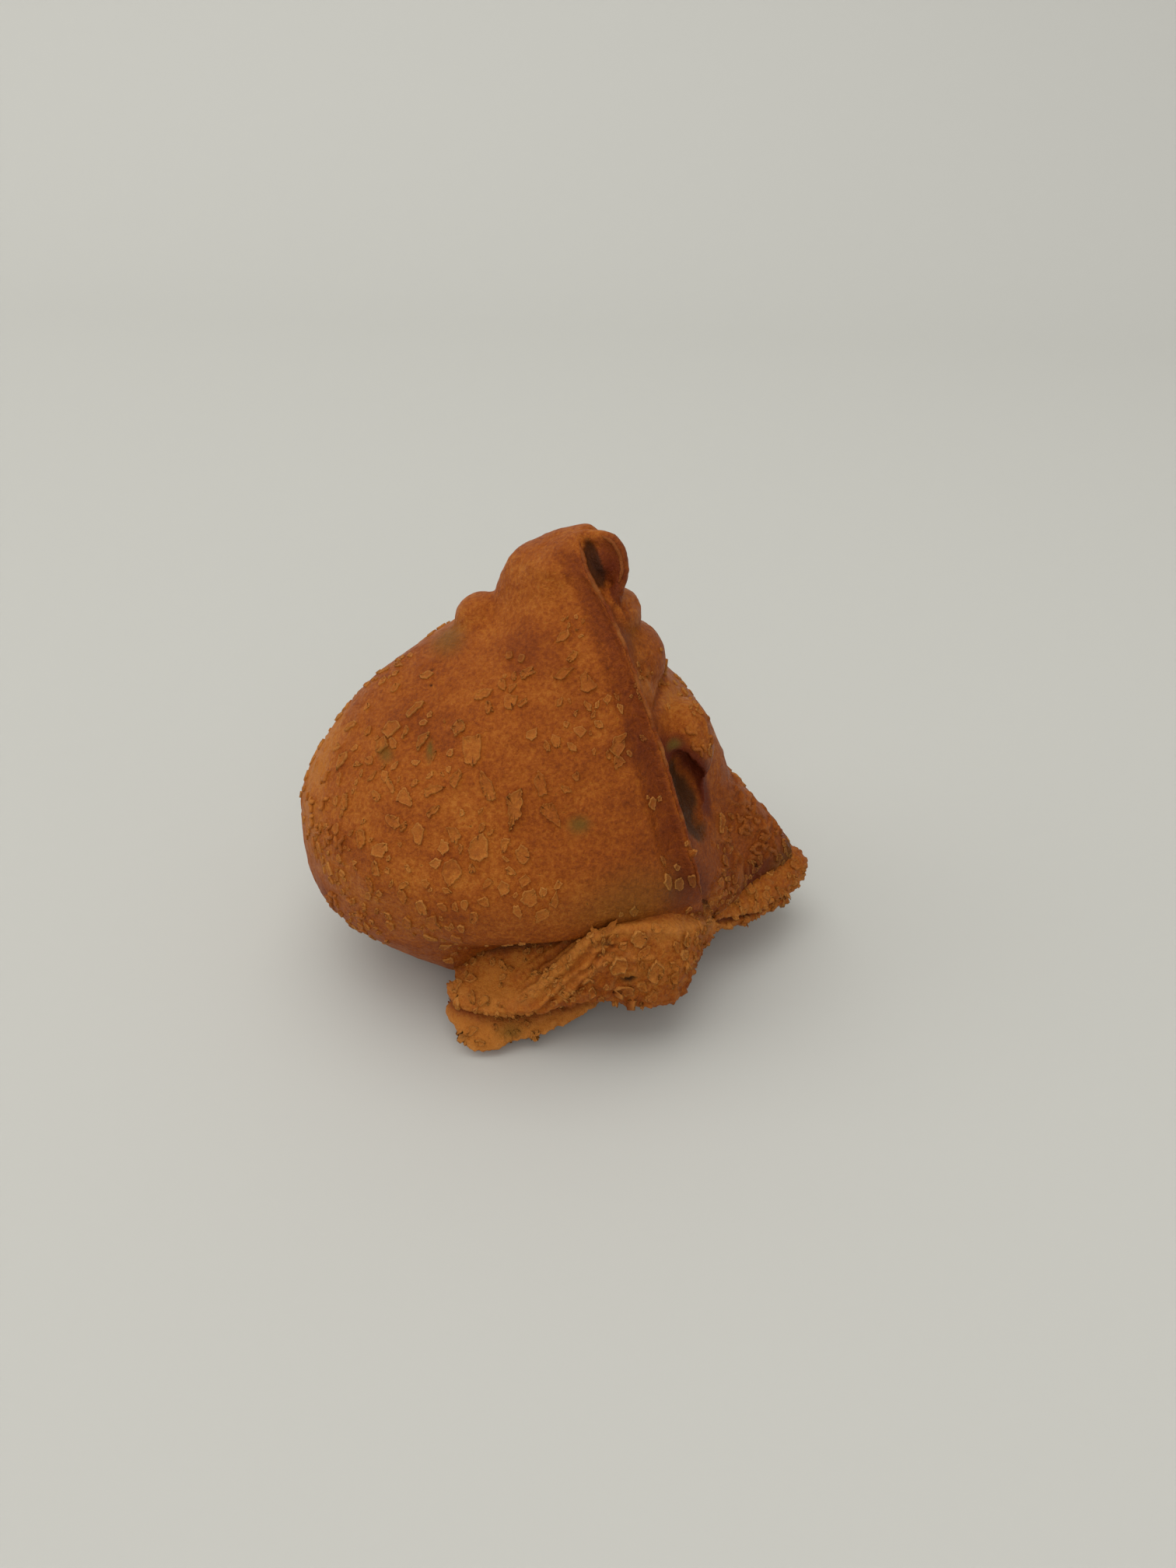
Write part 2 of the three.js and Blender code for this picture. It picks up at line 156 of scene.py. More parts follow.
SKIRT_FLAKES = [
    ((9, 22), 3, 10, (0.8, 2.2)), ((15, 18), 4, 18, (0.6, 1.9)), ((9, 14), 3, 8, (0.9, 2.2)),
    ((-20, 10), 2, 5, (0.9, 1.8)), ((-14, 9), 5, 22, (0.25, 1.0)), ((1, 15), 4, 14, (0.5, 1.4)),
    ((-5, 16), 4, 16, (0.25, 0.9)), ((2, 24), 4, 16, (0.25, 0.9)), ((19, 19), 4, 14, (0.4, 1.3)),
]
UNDER_FLAKES = [((-18, 4), 2, 5, (1.0, 1.9)), ((-9, 4), 2, 5, (1.0, 1.8)), ((-12, 4), 6, 22, (0.3, 1.2))]
EDGE_FLAKES = [((30, 13), 3, 12, (0.5, 1.8)), ((35, 12), 3, 14, (0.5, 1.9)), ((40, 12), 3, 14, (0.5, 1.7))]
# Each scattering's patches, its seed, how many clusters lie anywhere, and the flakes' thickness.
WRAPPER_SCATTER, SKIRT_SCATTER = (WRAPPER_FLAKES, 7, 140, 1.0), (SKIRT_FLAKES, 11, 20, 1.9)
UNDER_SCATTER, EDGE_SCATTER = (UNDER_FLAKES, 13, 10, 2.0), (EDGE_FLAKES, 17, 10, 1.8)
# Patches of raised wrinkles: across and height, spread, how many, and which way they run, in degrees.
WRINKLES = [
    ((27, 29), 3, 15, -35), ((32, 24), 3, 10, -40), ((19, 51), 3, 14, -60), ((-45, 33), 4, 16, 80),
    ((-41, 19), 4, 12, 60),
]
HOOD_RIM = [(0.6, 0.6, 80), (2.6, -0.4, 79), (4.0, -1.6, 76), (3.6, -2.6, 73.6)]
HOOD_RIM_RADIUS = 0.3
HOLES = (TIP_HOLE, POCKET, GAP)
# A flake's rings from its foot inwards: how far in, how high in thicknesses, how light and how dark; the
# bright rims are painted highlight, the dark foot ring painted shadow.
FLAKE_RINGS = [
    (-0.08, -2.0, 0.0, 0.3), (0.0, 0.7, 1.2, 0.0), (0.08, 1.7, 1.6, 0.0), (0.26, 1.1, 0.55, 0.0),
    (0.70, 0.75, 0.34, 0.0),
]
FLAKE_MIDDLE_LIGHT = 0.30
STREWN_BELOW = 60
# Places on the wrapper marked in shape or colour, each a middle and a reach; where the belly tucks into the
# skirt the colour is painted shade.
PLACES = {
    "diamonds": ((18.4, -5, 50), (5, 9, 8)), "rays": ((4.6, -3.4, 70.5), (3.6, 5, 3.4)),
    "pinch": ((24.5, 0, 35), (6, 7, 5)), "rough": ((8.4, -7.4, 59), (3.2, 5, 6)),
    "kink": ((22.9, -13.8, 20.5), (4, 5, 5)), "tucked_shade": ((-2, -22, 18.5), (24, 9, 7)),
    "saddle": ((-8.6, -6, 63), (9, 10, 6)), "below saddle": ((-2, -14, 58), (8, 9, 8)),
    "corner": ((16, -24, 30), (5.5, 6, 6)), "patch": ((4.9, -18.5, 52.9), (4.5, 6, 4.5)),
    "hood": ((2.2, 0.5, 76.4), (5.6, 7, 6.5)), "third fold": ((9, -2, 61), (6, 9, 7)),
    "wing foot": ((29, -2, 17), (10, 8, 5)),
}
# The groove under the wing, painted browner and red as shade, and olive towards its right end.
SHADE_UNDER_WING = ((29, -4, 16), (41, 8, 15))
# Soft spots of colour, each a strength, a middle and a reach.
PALE_SPOTS = [
    (0.12, (-21, -24, 44), (11, 9, 8)), (0.16, (-38, -19, 40), (8, 9, 8)), (0.36, (-19, 6, 62), (6, 7, 6)),
    (0.20, (5, -1, 67), (5, 7, 5)), (0.34, (13, -3, 54), (8, 9, 8)), (0.25, (15, -8, 51), (6, 8, 6)),
    (0.46, (-47, -6, 42), (8, 20, 18)), (0.25, (-20, -29, 35), (3, 5, 2)), (0.2, (-36, -24, 36), (5, 6, 2)),
]
BROWN_SPOTS = [(0.16, (-28, -12, 52), (10, 12, 9)), (0.2, (-37, -21, 35), (5, 8, 4))]
GREEN_SPOTS = [
    (0.42, (6, -26, 30), (15, 11, 9)), (1.0, (13.2, -11.2, 49.8), (2.4, 4, 1.2)),
    (0.55, (-24, 2.5, 60.4), (6, 7, 3.6)), (0.8, (-32.8, -13.7, 47.6), (2.2, 4, 1.5)),
    (0.8, (-25.3, -16.3, 49.9), (0.9, 4, 2.2)), (0.8, (-1.4, -25.4, 43), (2.6, 5, 2)),
    (0.15, (5.5, -4, 64), (5, 6, 7)),
]
# Where the folds on the right meet, each as two ends and a depth; the creases are sunk and painted browner as
# shade.
CREASES = [((3.4, -4.6, 69.6), (8.2, 2, 69.2), 0.30), ((12.6, 2.6, 56.4), (10.8, -9.6, 55.4), 0.75)]
# Marks on the skirt and the under layer, each a middle and a reach.
STAR, SLIT = ((4.0, -30.2, 22.9), (2.2, 3, 1.8)), ((7.4, -30.8, 16.9), (1.8, 3, 0.5))
SLIT_STAIN, UNDER_STAIN = ((7.4, -30.8, 17), (3, 4, 1.6)), ((-11.8, -31.1, 4.4), (3.4, 4, 2))
SKIRT_RED = ((19, -19, 16), (5, 6, 9))
MOST_TRIANGLES = 195000
# The material's noises, from patches to fine grain: scale per metre, detail and roughness.
GRAINS = [(75, 4, 0.55), (330, 5, 0.62), (1500, 4, 0.7), (4200, 3, 0.7)]
BROWNING_STOPS = (0.0, 0.24, 0.50, 0.90)
# The studio: each light's place, size and power, and how the floor sweeps up behind.
LIGHTS = {
    "overhead": ((-0.35, 0.0, 2.0), 2.2, 23.5), "front_fill": ((0.15, -1.9, 1.3), 1.8, 13.0),
    "left_fill": ((-1.9, -0.2, 1.1), 1.6, 8.0),
}
SWEEP_START, SWEEP_ROUND = 0.55, 0.5


# ---------------------------------------------------------------- small mathematics
def smooth(low, high, x):
    t = np.clip((x - low) / (high - low), 0, 1)
    return t * t * (3 - 2 * t)


def hump(x):
    return np.where(np.abs(x) < 1, (1 - x * x) ** 2, 0)


def mix(a, b, t):
    return a + (b - a) * t


def bell(x, width):
    """1 where x is 0, falling away on both sides of it."""
    return np.exp(-((x / width) ** 2))


def unit(vectors, least=0.0):
    """The vectors made 1 long; `least` is added to their length where it may be 0."""
    return vectors / (np.linalg.norm(vectors, axis=-1, keepdims=True) + least)


def angles_round(count):
    return np.linspace(0, 2 * np.pi, count, endpoint=False)


def round_in(t):
    """A rise from 0 to 1 that starts upright and ends level."""
    return (1 - (1 - np.clip(t, 0, 1)) ** 1.5) ** (1 / 1.5)


def line_through(points, t, closed=False):
    """Catmull-Rom through points along their first axis, at t from 0 to 1."""
    points = np.asarray(points, float)
    count = len(points)
    spans = count if closed else count - 1
    s = np.asarray(t, float) * spans
    i = np.clip(np.floor(s).astype(int), 0, spans - 1)
    f = (s - i).reshape((-1,) + (1,) * (points.ndim - 1))
    if closed:
        a, b, c, d = (points[(i + k) % count] for k in (-1, 0, 1, 2))
    else:
        b, c = points[i], points[i + 1]
        a = np.where((i > 0).reshape(f.shape), points[np.maximum(i - 1, 0)], 2 * b - c)
        d = np.where((i < spans - 1).reshape(f.shape), points[np.minimum(i + 2, spans)], 2 * c - b)
    return 0.5 * (2 * b + (c - a) * f + (2 * a - 5 * b + 4 * c - d) * f**2 + (3 * b - a - 3 * c + d) * f**3)


def outline_at(outline, height):
    """An outline's point at each height, on a cubic through the outline's own points."""
    o = np.asarray(outline, float)
    before = np.maximum(np.arange(len(o)) - 1, 0)
    after = np.minimum(np.arange(len(o)) + 1, len(o) - 1)
    slopes = (o[after, 1:] - o[before, 1:]) / (o[after, :1] - o[before, :1])
    i = np.clip(np.searchsorted(o[:, 0], height, side="left") - 1, 0, len(o) - 2)
    span = (o[i + 1, 0] - o[i, 0])[:, None]
    t = (height - o[i, 0])[:, None] / span
    return (
        (2 * t**3 - 3 * t**2 + 1) * o[i, 1:] + (t**3 - 2 * t**2 + t) * span * slopes[i]
        + (3 * t**2 - 2 * t**3) * o[i + 1, 1:] + (t**3 - t**2) * span * slopes[i + 1]
    )


def quarter(side, end, degrees, fullness):
    """A point on the rounded corner between two outlines."""
    angle = math.radians(degrees)
    x = mix(end[:, 0], side[:, 0], math.cos(angle) ** fullness)
    y = mix(side[:, 1], end[:, 1], math.sin(angle) ** fullness)
    return np.stack([x, y], -1)


def between(a, b, share, bow):
    """A point between two outlines, pushed aside by `bow` times their distance."""
    along = b - a
    aside = np.stack([along[:, 1], -along[:, 0]], -1)
    return a + along * share + aside * (bow if np.isscalar(bow) else bow[:, None])


# ---------------------------------------------------------------- noise
def hashed(cells, salt):
    """Three repeatable values from 0 to 1 for each whole-numbered cell."""
    c = cells.astype(np.int64)
    h = (c[..., 0] * 73856093) ^ (c[..., 1] * 19349663) ^ (c[..., 2] * 83492791) ^ (salt * 2654435761)
    out = []
    for k in range(3):
        h = (h ^ (h >> 15)) * 2246822519 & 0xFFFFFFFF
        h = (h ^ (h >> 13)) * 3266489917 & 0xFFFFFFFF
        h = h ^ (h >> 16)
        out.append((h & 0xFFFFFF) / float(0x1000000))
    return np.stack(out, -1)


def noise(p, size, salt):
    """Smooth value noise from -1 to 1, its lumps about `size` across."""
    q = p / size
    base = np.floor(q)
    f = q - base
    f = f * f * f * (f * (f * 6 - 15) + 10)
    total = np.zeros(len(p))
    for corner in np.ndindex(2, 2, 2):
        x, y, z = np.where(corner, f, 1 - f).T
        total += hashed(base + corner, salt)[:, 0] * (x * y * z)
    return total * 2 - 1


def fractal(p, size, octaves, salt):
    """Noise with ever smaller noise on it."""
    total, share, whole = 0, 1.0, 0
    for k in range(octaves):
        total = total + share * noise(p + 17.3 * k, size / 2**k, salt + k)
        whole += share
        share *= 0.5
    return total / whole


def warped(p, size, amount, salt):
    return p + amount * np.stack([noise(p, size, salt + k) for k in range(3)], -1)


def cells_at(p, size, salt):
    """For each point its cell's own value, the distance to the cell's border, and to its middle."""
    q = p / size
    base = np.floor(q)
    best = np.full(len(p), 1e9)
    near = np.zeros_like(q)
    value = np.zeros(len(p))
    spots = []
    for step in np.ndindex(3, 3, 3):
        cell = base + step - 1
        r = hashed(cell, salt)
        spot = cell + 0.1 + 0.8 * r
        d = ((spot - q) ** 2).sum(1)
        closer = d < best
        best = np.where(closer, d, best)
        near = np.where(closer[:, None], spot, near)
        value = np.where(closer, hashed(cell, salt + 7)[:, 1], value)
        spots.append(spot)
    border = np.full(len(p), 1e9)
    for spot in spots:
        apart = spot - near
        gap = np.linalg.norm(apart, axis=1)
        other = gap > 1e-6
        d = ((((near + spot) / 2 - q) * apart).sum(1)) / np.maximum(gap, 1e-6)
        border = np.where(other, np.minimum(border, d), border)
    return value, border * size, np.sqrt(best) * size


# ---------------------------------------------------------------- closed shells, in millimetres
def gather(t, share):
    """Even steps drawn together towards both ends."""
    return t - share * np.sin(2 * np.pi * t) / (2 * np.pi)


def wrapper_rows(around, up):
    """Level rings of the wrapper, and each point's distance round its ring from the seam, both ways."""
    height = HEIGHT * gather(np.linspace(0, 1, up), 0.55)
    left, right, front, back, seam = (outline_at(o, height) for o in (LEFT, RIGHT, FRONT, BACK, SEAM))
    lean = mix(1, 1.35, smooth(40, 62, height))
    middle, spread, depth = WING_HOLLOW
    ring = [
        seam, between(seam, right, 0.5, -depth * hump((height - middle) / spread)), right,
        quarter(right, back, 48, 1.05), back, quarter(left, back, 45, 1), left,
    ]
    ring += [quarter(left, front, degrees, lean) for degrees in (32, 62)]
    ring += [front, between(front, seam, *SEAM_BOW), seam.copy()]
    ring = np.array(ring)
    base = 1 - BASE_INSET * (1 - round_in(height / BASE_ROUND))
    tip = round_in((HEIGHT - height) / TIP_ROUND)
    tuck = TUCK["depth"] * hump((height - TUCK["height"]) / TUCK["spread"])
    ring = mix(np.array(BASE_CENTRE), ring, base[None, :, None])
    ring = mix(np.array(TIP_CENTRE), ring, tip[None, :, None])
    across = ring[..., 0]
    over = smooth(TUCK["from"], TUCK["full"], across) * (1 - smooth(TUCK["fading"], TUCK["to"], across))
    ring[..., 1] += np.where(ring[..., 1] < 0, tuck * over, 0)
    flat = line_through(ring, gather(np.linspace(0, 1, around), 0.8)).transpose(1, 0, 2)
    rows = np.concatenate([flat, np.repeat(height[:, None, None], around, 1)], -1)
    steps = np.linalg.norm(np.diff(rows, axis=1), axis=-1)
    before = np.concatenate([np.zeros((up, 1)), np.cumsum(steps, 1)], 1)
    return rows, before, before[:, -1:] - before, height


def lap_offset(rows, before, after, height):
    """Pushes the rings out and in beside the seam: a pressed band, a thin lip and the sheet under it."""
    along = np.gradient(rows, axis=1)
    outward = unit(np.stack([along[..., 1], -along[..., 0], 0 * along[..., 0]], -1), 1e-9)
    share = np.clip(before[:, -1:] / 60, 0.05, 1)
    h = height[:, None]
    top = share * (1 - smooth(75.9, 78.4, h))
    under = -LAP_SUNK * (1 - smooth(0.15, 8.0 * share, before)) * top * smooth(12, 20, h)
    under = under * (1 - 0.6 * smooth(57, 63, h))
    band = -BAND_DEEP * smooth(1.2, 0.8, after / (BAND_WIDE * share))
    lip = LIP_TALL * smooth(1.5, 0.8, after / LIP_WIDE)
    return rows + outward * np.where(before < after, under, (band + lip) * top * smooth(26, 36, h))[..., None]


def sweep(sections, around):
    """Rows of closed Catmull-Rom loops from a list of sections' points."""
    sections = np.asarray(sections, float).transpose(1, 0, 2)
    return line_through(sections, np.arange(around) / around, closed=True).transpose(1, 0, 2)


def shell(rows, ends=None):
    """The vertices and faces of rows of points, each row a closed loop, with both ends shut."""
    up, around = rows.shape[:2]
    if ends is None:
        ends = (rows[0].mean(0), rows[-1].mean(0))
    points = np.concatenate([rows.reshape(-1, 3), np.array(ends)])
    i, j = np.meshgrid(np.arange(up - 1), np.arange(around), indexing="ij")
    a, b = i * around + j, i * around + (j + 1) % around
    faces = np.stack([a, b, b + around, a + around], -1).reshape(-1, 4).tolist()
    low, high = len(points) - 2, len(points) - 1
    last = (up - 1) * around
    for k in range(around):
        n = (k + 1) % around
        faces.append([low, n, k])
        faces.append([high, last + k, last + n])
    return points, faces


def towards_middle(points, front, distance):
    """The points moved level towards the middle of the base, each along its own line from `front`."""
    inward = unit(np.array(BASE_CENTRE) - front[..., :2])
    return points + np.concatenate([inward, 0 * inward[..., :1]], -1) * distance


def leaning(degrees):
    """A turn about Y."""
    c, s = math.cos(math.radians(degrees)), math.sin(math.radians(degrees))
    return np.array([[c, 0, s], [0, 1, 0], [-s, 0, c]])


def ball(at, size, lean=0):
    """A ball stretched to `size`, leant about Y by degrees."""
    t, a = np.linspace(0, np.pi, 26)[1:-1], angles_round(40)
    level = np.repeat(-np.cos(t)[:, None], len(a), 1)
    rows = np.stack([np.outer(np.sin(t), np.cos(a)), np.outer(np.sin(t), np.sin(a)), level], -1)

    def place(p):
        return (p * np.array(size)) @ leaning(lean).T + np.array(at)

    return shell(place(rows), (place(np.array([0, 0, -1.0])), place(np.array([0, 0, 1.0]))))


def wrapper_shell():
    rows, before, after, height = wrapper_rows(*WRAPPER_STEPS)
    rows = lap_offset(rows, before, after, height)[:, :-1]
    return shell(rows, (np.array([*BASE_CENTRE, 0]), np.array([*TIP_CENTRE, HEIGHT])))


def skirt_shell():
    fold, top, low = (line_through(p, np.linspace(0, 1, 220)) for p in (SKIRT_CREASE, SKIRT_CREST, SKIRT_HEM))
    face = mix(top, low, 0.45)
    shelf = mix(fold, top, 0.6)
    shelf[:, 2] -= 0.06 * np.linalg.norm(fold - top, axis=1)
    return shell(sweep([
        towards_middle(fold, low, 7), fold, shelf, top, towards_middle(face, low, -1.2), low,
        towards_middle(low, low, 3), towards_middle(low, low, 10),
    ], 120))


def under_shell():
    top, toe = (line_through(p, np.linspace(0, 1, 180)) for p in (UNDER_TOP, UNDER_TOE))
    under = towards_middle(toe, toe, 2.2) - (0, 0, 0.7)
    face = mix(top, toe, 0.6)
    return shell(sweep([
        towards_middle(top, toe, 9), top, towards_middle(face, toe, -0.5), toe, under,
        towards_middle(under, toe, 10) + (0, 0, 0.8),
    ], 90))


def strip_shell():
    v = np.linspace(0, 1, 200)
    middle = line_through(STRIP_EDGE, v)
    tall = STRIP_TALL * (1 - 0.45 * smooth(0.8, 1, v))
    section = []
    for depth, share in STRIP_SECTION:
        p = towards_middle(middle, middle, depth)
        p[:, 2] += share * tall
        section.append(p)
    return shell(sweep(section, 110))


def tube(path, radius, around):
    """A round tube along a line of points."""
    along = unit(np.gradient(path, axis=0))
    across = unit(np.cross(np.array([0, 1, 0.2]), along))
    out = np.cross(along, across)
    a = angles_round(around)[None, :, None]
    ring = np.cos(a) * across[:, None] + np.sin(a) * out[:, None]
    return shell(path[:, None] + radius[:, None, None] * ring)


def loose_shell():
    """A curled flake that stands loose above the skirt's ridge."""
    v, a = np.linspace(0, 1, 40), angles_round(24)
    path = line_through(LOOSE_FLAKE, v)
    tall = (0.75 * np.sqrt(1 - np.abs(2 * v - 1) ** 3) + 0.08)[:, None]
    tall = tall * (1 + 0.3 * np.sin(9 * v + 1))[:, None]
    rows = np.repeat(path[:, None], len(a), 1)
    rows[..., 1] += 0.20 * np.cos(a) - 0.55 * tall * np.sin(a) ** 2
    rows[..., 2] += tall * np.sin(a) + 0.16 * np.sin(26 * v)[:, None]
    return shell(rows)


def hood_shell():
    v = np.linspace(0, 1, 140)
    return tube(line_through(HOOD, v), 1.4 * np.sqrt(1 - 0.85 * np.abs(2 * v - 1) ** 6), 36)


def lip_shell(mesh):
    """The lap's cut edge: a thin uneven bead from the tip down to where the lap melts into the dough."""
    rows, before, after, height = wrapper_rows(*LIP_STEPS)
    rows = lap_offset(rows, before, after, height)
    tree = tree_of(mesh)
    edge = rows[(height > LIP_FROM) & (height < LIP_TO), -9]
    path = np.array([tuple(tree.find_nearest(Vector(spot))[0]) for spot in edge.tolist()])
    for _ in range(12):
        path[1:-1] = 0.5 * path[1:-1] + 0.25 * (path[:-2] + path[2:])
    v = np.linspace(0, 1, len(path))
    wave = np.stack([noise(path, 2.6, 201 + k) + 0.5 * noise(path, 0.9, 211 + k) for k in range(3)], -1)
    ends = np.clip(np.minimum(v * 9, (1 - v) * 14), 0.12, 1) ** 0.6
    return tube(path + 0.10 * wave, (LIP_RADIUS + 0.09 * noise(path, 1.7, 221)) * ends, 20)


# ---------------------------------------------------------------- meshes
def mesh_of(name, shells):
    """One mesh of all the shells, its faces turned outwards."""
    points, faces, start = [], [], 0
    for p, f in shells:
        points.append(p)
        faces += [[start + k for k in face] for face in f]
        start += len(p)
    mesh = bpy.data.meshes.new(name)
    mesh.from_pydata(np.concatenate(points).tolist(), [], faces)
    mesh.update()
    bm = bmesh.new()
    bm.from_mesh(mesh)
    bmesh.ops.recalc_face_normals(bm, faces=bm.faces)
    bm.to_mesh(mesh)
    bm.free()
    return mesh


def put(name, data):
    """A new object of the data, linked into the scene."""
    made = bpy.data.objects.new(name, data)
    bpy.context.scene.collection.objects.link(made)
    return made


def with_modifier(mesh, kind, **settings):
    """The mesh after one modifier; a mesh among its settings is the other object it works with."""
    holder = put("holder", mesh)
    extra = []
    modifier = holder.modifiers.new(kind.title(), kind)
    for key, value in settings.items():
        if isinstance(value, bpy.types.Mesh):
            value = put("other", value)
            extra.append(value)
        setattr(modifier, key, value)
    graph = bpy.context.evaluated_depsgraph_get()
    made = bpy.data.meshes.new_from_object(holder.evaluated_get(graph))
    for o in [holder, *extra]:
        bpy.data.objects.remove(o)
    return made


def remeshed(mesh, voxel):
    return with_modifier(mesh, "REMESH", mode="VOXEL", voxel_size=voxel, adaptivity=0)


def with_hole(mesh, hole):
    cutter = mesh_of("hole", [ball(*hole)])
    return with_modifier(mesh, "BOOLEAN", operation="DIFFERENCE", solver="EXACT", object=cutter)


def relaxed(mesh, rounds):
    return with_modifier(mesh, "SMOOTH", factor=0.5, iterations=rounds)


def tree_of(mesh):
    """The mesh's surface, to cast rays at and to find the nearest spot on."""
    return BVHTree.FromPolygons(places_of(mesh).tolist(), [tuple(face.vertices) for face in mesh.polygons])


def read(items, key, width=1):
    """One value, or `width` values, of every item in a row."""
    out = np.empty(len(items) * width, np.float32)
    items.foreach_get(key, out)
    return out


def places_of(mesh):
    return read(mesh.vertices, "co", 3).reshape(-1, 3).astype(float)


def normals_of(mesh):
    mesh.update()
    return read(mesh.vertex_normals, "vector", 3).reshape(-1, 3).astype(float)


def move_to(mesh, places):
    mesh.vertices.foreach_set("co", places.astype(np.float32).ravel())
    mesh.update()


def paint(mesh, name, values):
    layer = mesh.attributes.get(name) or mesh.attributes.new(name, "FLOAT", "POINT")
    layer.data.foreach_set("value", np.asarray(values, np.float32))


def paint_looks(mesh, **looks):
    """Paints every look the dough's material reads; one that isn't given is 0."""
    for name in LOOKS:
        paint(mesh, name, np.clip(looks.get(name, np.zeros(len(mesh.vertices))), 0, 1.4))


# ---------------------------------------------------------------- what the frying did to the surface
def seam_side(p):
    """Distance from the seam along the sheets, under 0 on the belly and over 0 on the right, and straight."""
    height = np.clip(p[:, 2], 0, 80)
    seam, right, front = (outline_at(o, height) for o in (SEAM, RIGHT, FRONT))
    off = p[:, :2] - seam
    before = (off * unit(seam - front, 1e-9)).sum(1)
    after = (off * unit(right - seam, 1e-9)).sum(1)
    return np.where(before < 0, before, np.maximum(after, 0)), np.linalg.norm(off, axis=1)


def near(p, at, size):
    """1 at a place, falling to 0 at `size` from it."""
    return hump(np.linalg.norm((p - np.array(at)) / np.array(size), axis=1))


def spots(p, rows):
    return sum(strength * near(p, at, size) for strength, at, size in rows)


def ridge_lines(p, size, width, salt):
    """Thin raised lines that wander like worms."""
    return smooth(width, 0, np.abs(noise(warped(p, size * 0.6, size * 0.3, salt + 3), size, salt)))


def flake_outline(rng, radius):
    """One flake's uneven outline: straight broken edges between a few corners, longer one way."""
    count = int(rng.integers(5, 9))
    angles = (np.arange(count) + rng.uniform(-0.36, 0.36, count)) * 2 * np.pi / count
    reach = radius * rng.uniform(0.62, 1.25, count)
    corners = np.stack([reach * np.cos(angles), rng.uniform(0.42, 0.82) * reach * np.sin(angles)], -1)
    t = np.linspace(0, 1, 3 + int(1.6 * radius), endpoint=False)[:, None]
    outline = np.concatenate([mix(corners[k - 1], corners[k], t) for k in range(count)])
    outline += rng.normal(0, 0.03 + 0.025 * radius, outline.shape)
    turn = math.radians(90 + rng.normal(0, 32))
    return outline @ np.array([[math.cos(turn), math.sin(turn)], [-math.sin(turn), math.cos(turn)]])


class Crust:
    """A finished surface to lay flakes and wrinkles on, and the looks that it lends them."""

    def __init__(self, mesh):
        self.places, self.tree = places_of(mesh), tree_of(mesh)
        self.corner = [face.vertices[0] for face in mesh.polygons]
        self.looks = {key: read(mesh.attributes[key].data, "value") for key in LOOKS}
        self.shells, self.painted = [], {key: [] for key in LOOKS}

    def seen_at(self, across, height):
        """The spot, normal and face of the crust that shows from the front."""
        return self.tree.ray_cast(Vector((across, -80, height)), Vector((0, 1, 0)))[:3]

    def add(self, part, corners, light, dark=0.0, browning=0.0):
        """Adds a part whose points look like the crust at `corners`, but lighter, darker or less browned."""
        self.shells.append(part)
        looks = {key: self.looks[key][corners] for key in LOOKS}
        looks["light"] = np.maximum(looks["light"], light)
        looks["dark"] = np.maximum(looks["dark"], dark)
        looks["browning"] = looks["browning"] - browning
        for key in LOOKS:
            self.painted[key].append(looks[key])

    def mesh(self, name):
        made = mesh_of(name, self.shells)
        for key in LOOKS:
            paint(made, key, np.concatenate(self.painted[key]))
        return made


def from_holes(points):
    """How far the nearest point is from every hole's middle, 1 being the hole's border."""
    return min(in_ball(np.array(points), *hole).min() for hole in HOLES)


def flake_plates(name, mesh, patches, seed, strewn, thickness):
    """Dry flakes lifting off the crust: thin uneven plates that follow the surface under them."""
    rng = np.random.default_rng(seed)
    base = Crust(mesh)
    places, tree = base.places, base.tree
    base.looks["dark"] = 0.5 * base.looks["dark"]
    wanted = [(at, spread, radii) for at, spread, count, radii in patches for _ in range(count)]
    for k in rng.integers(0, len(places), strewn):
        if places[k][2] < STREWN_BELOW:
            wanted += [(places[k], 3.0, (0.4, rng.uniform(0.9, 1.8)))] * int(rng.integers(1, 7))
    insets, lifts, lights, shades = zip(*FLAKE_RINGS)
    taken = []
    for at, spread, radii in wanted * 2:
        radius = mix(*radii, rng.random() ** 1.1)
        astray = rng.normal(0, 0.6 * spread, 3)
        if len(at) == 2:
            spot, normal, _ = base.seen_at(at[0] + astray[0], at[1] + astray[2])
        else:
            spot, normal, _, _ = tree.find_nearest(Vector(at) + Vector(astray))
        if spot is None or from_holes([spot]) < 1.5:
            continue
        outline = flake_outline(rng, radius)
        thick = float(thickness * (0.10 + 0.06 * radius) * rng.uniform(0.8, 1.4))
        strength = rng.uniform(0.4, 1)
        if spot.z < 1.5 or any((spot - other).length < 0.80 * (radius + r) for other, r in taken):
            continue
        taken.append((spot, radius))
        aside = normal.cross(Vector((0, 0, 1)) if abs(normal.z) < 0.95 else Vector((0, 1, 0))).normalized()
        above = aside.cross(normal)
        rows, hits = [], []
        for inset, lift in zip(insets, lifts):
            ring = outline * max(1 - inset / max(radius, 0.55), 0.25)
            row = []
            for x, y in ring.tolist():
                flat = spot + x * aside + y * above
                hit, _, face, _ = tree.ray_cast(flat + 1.5 * normal, -normal, 3)
                if hit is None:
                    hit, face = flat, tree.find_nearest(spot)[2]
                row.append(tuple(hit + lift * thick * normal))
                hits.append(base.corner[face])
            rows.append(row)
        rows = np.array(rows)
        ends = (rows[0].mean(0) - 0.3 * np.array(normal), rows[-1].mean(0))
        count = len(outline)
        # Flakes are less browned than the crust; their bright rims are painted highlight and their dark foot
        # ring painted shadow.
        base.add(
            shell(rows, ends), hits + [hits[0], hits[-1]], browning=0.10 * strength,
            light=np.concatenate([np.repeat(lights, count), [0, FLAKE_MIDDLE_LIGHT]]) * strength,
            dark=np.concatenate([np.repeat(shades, count), [0, 0]]))
    return base.mesh(name)


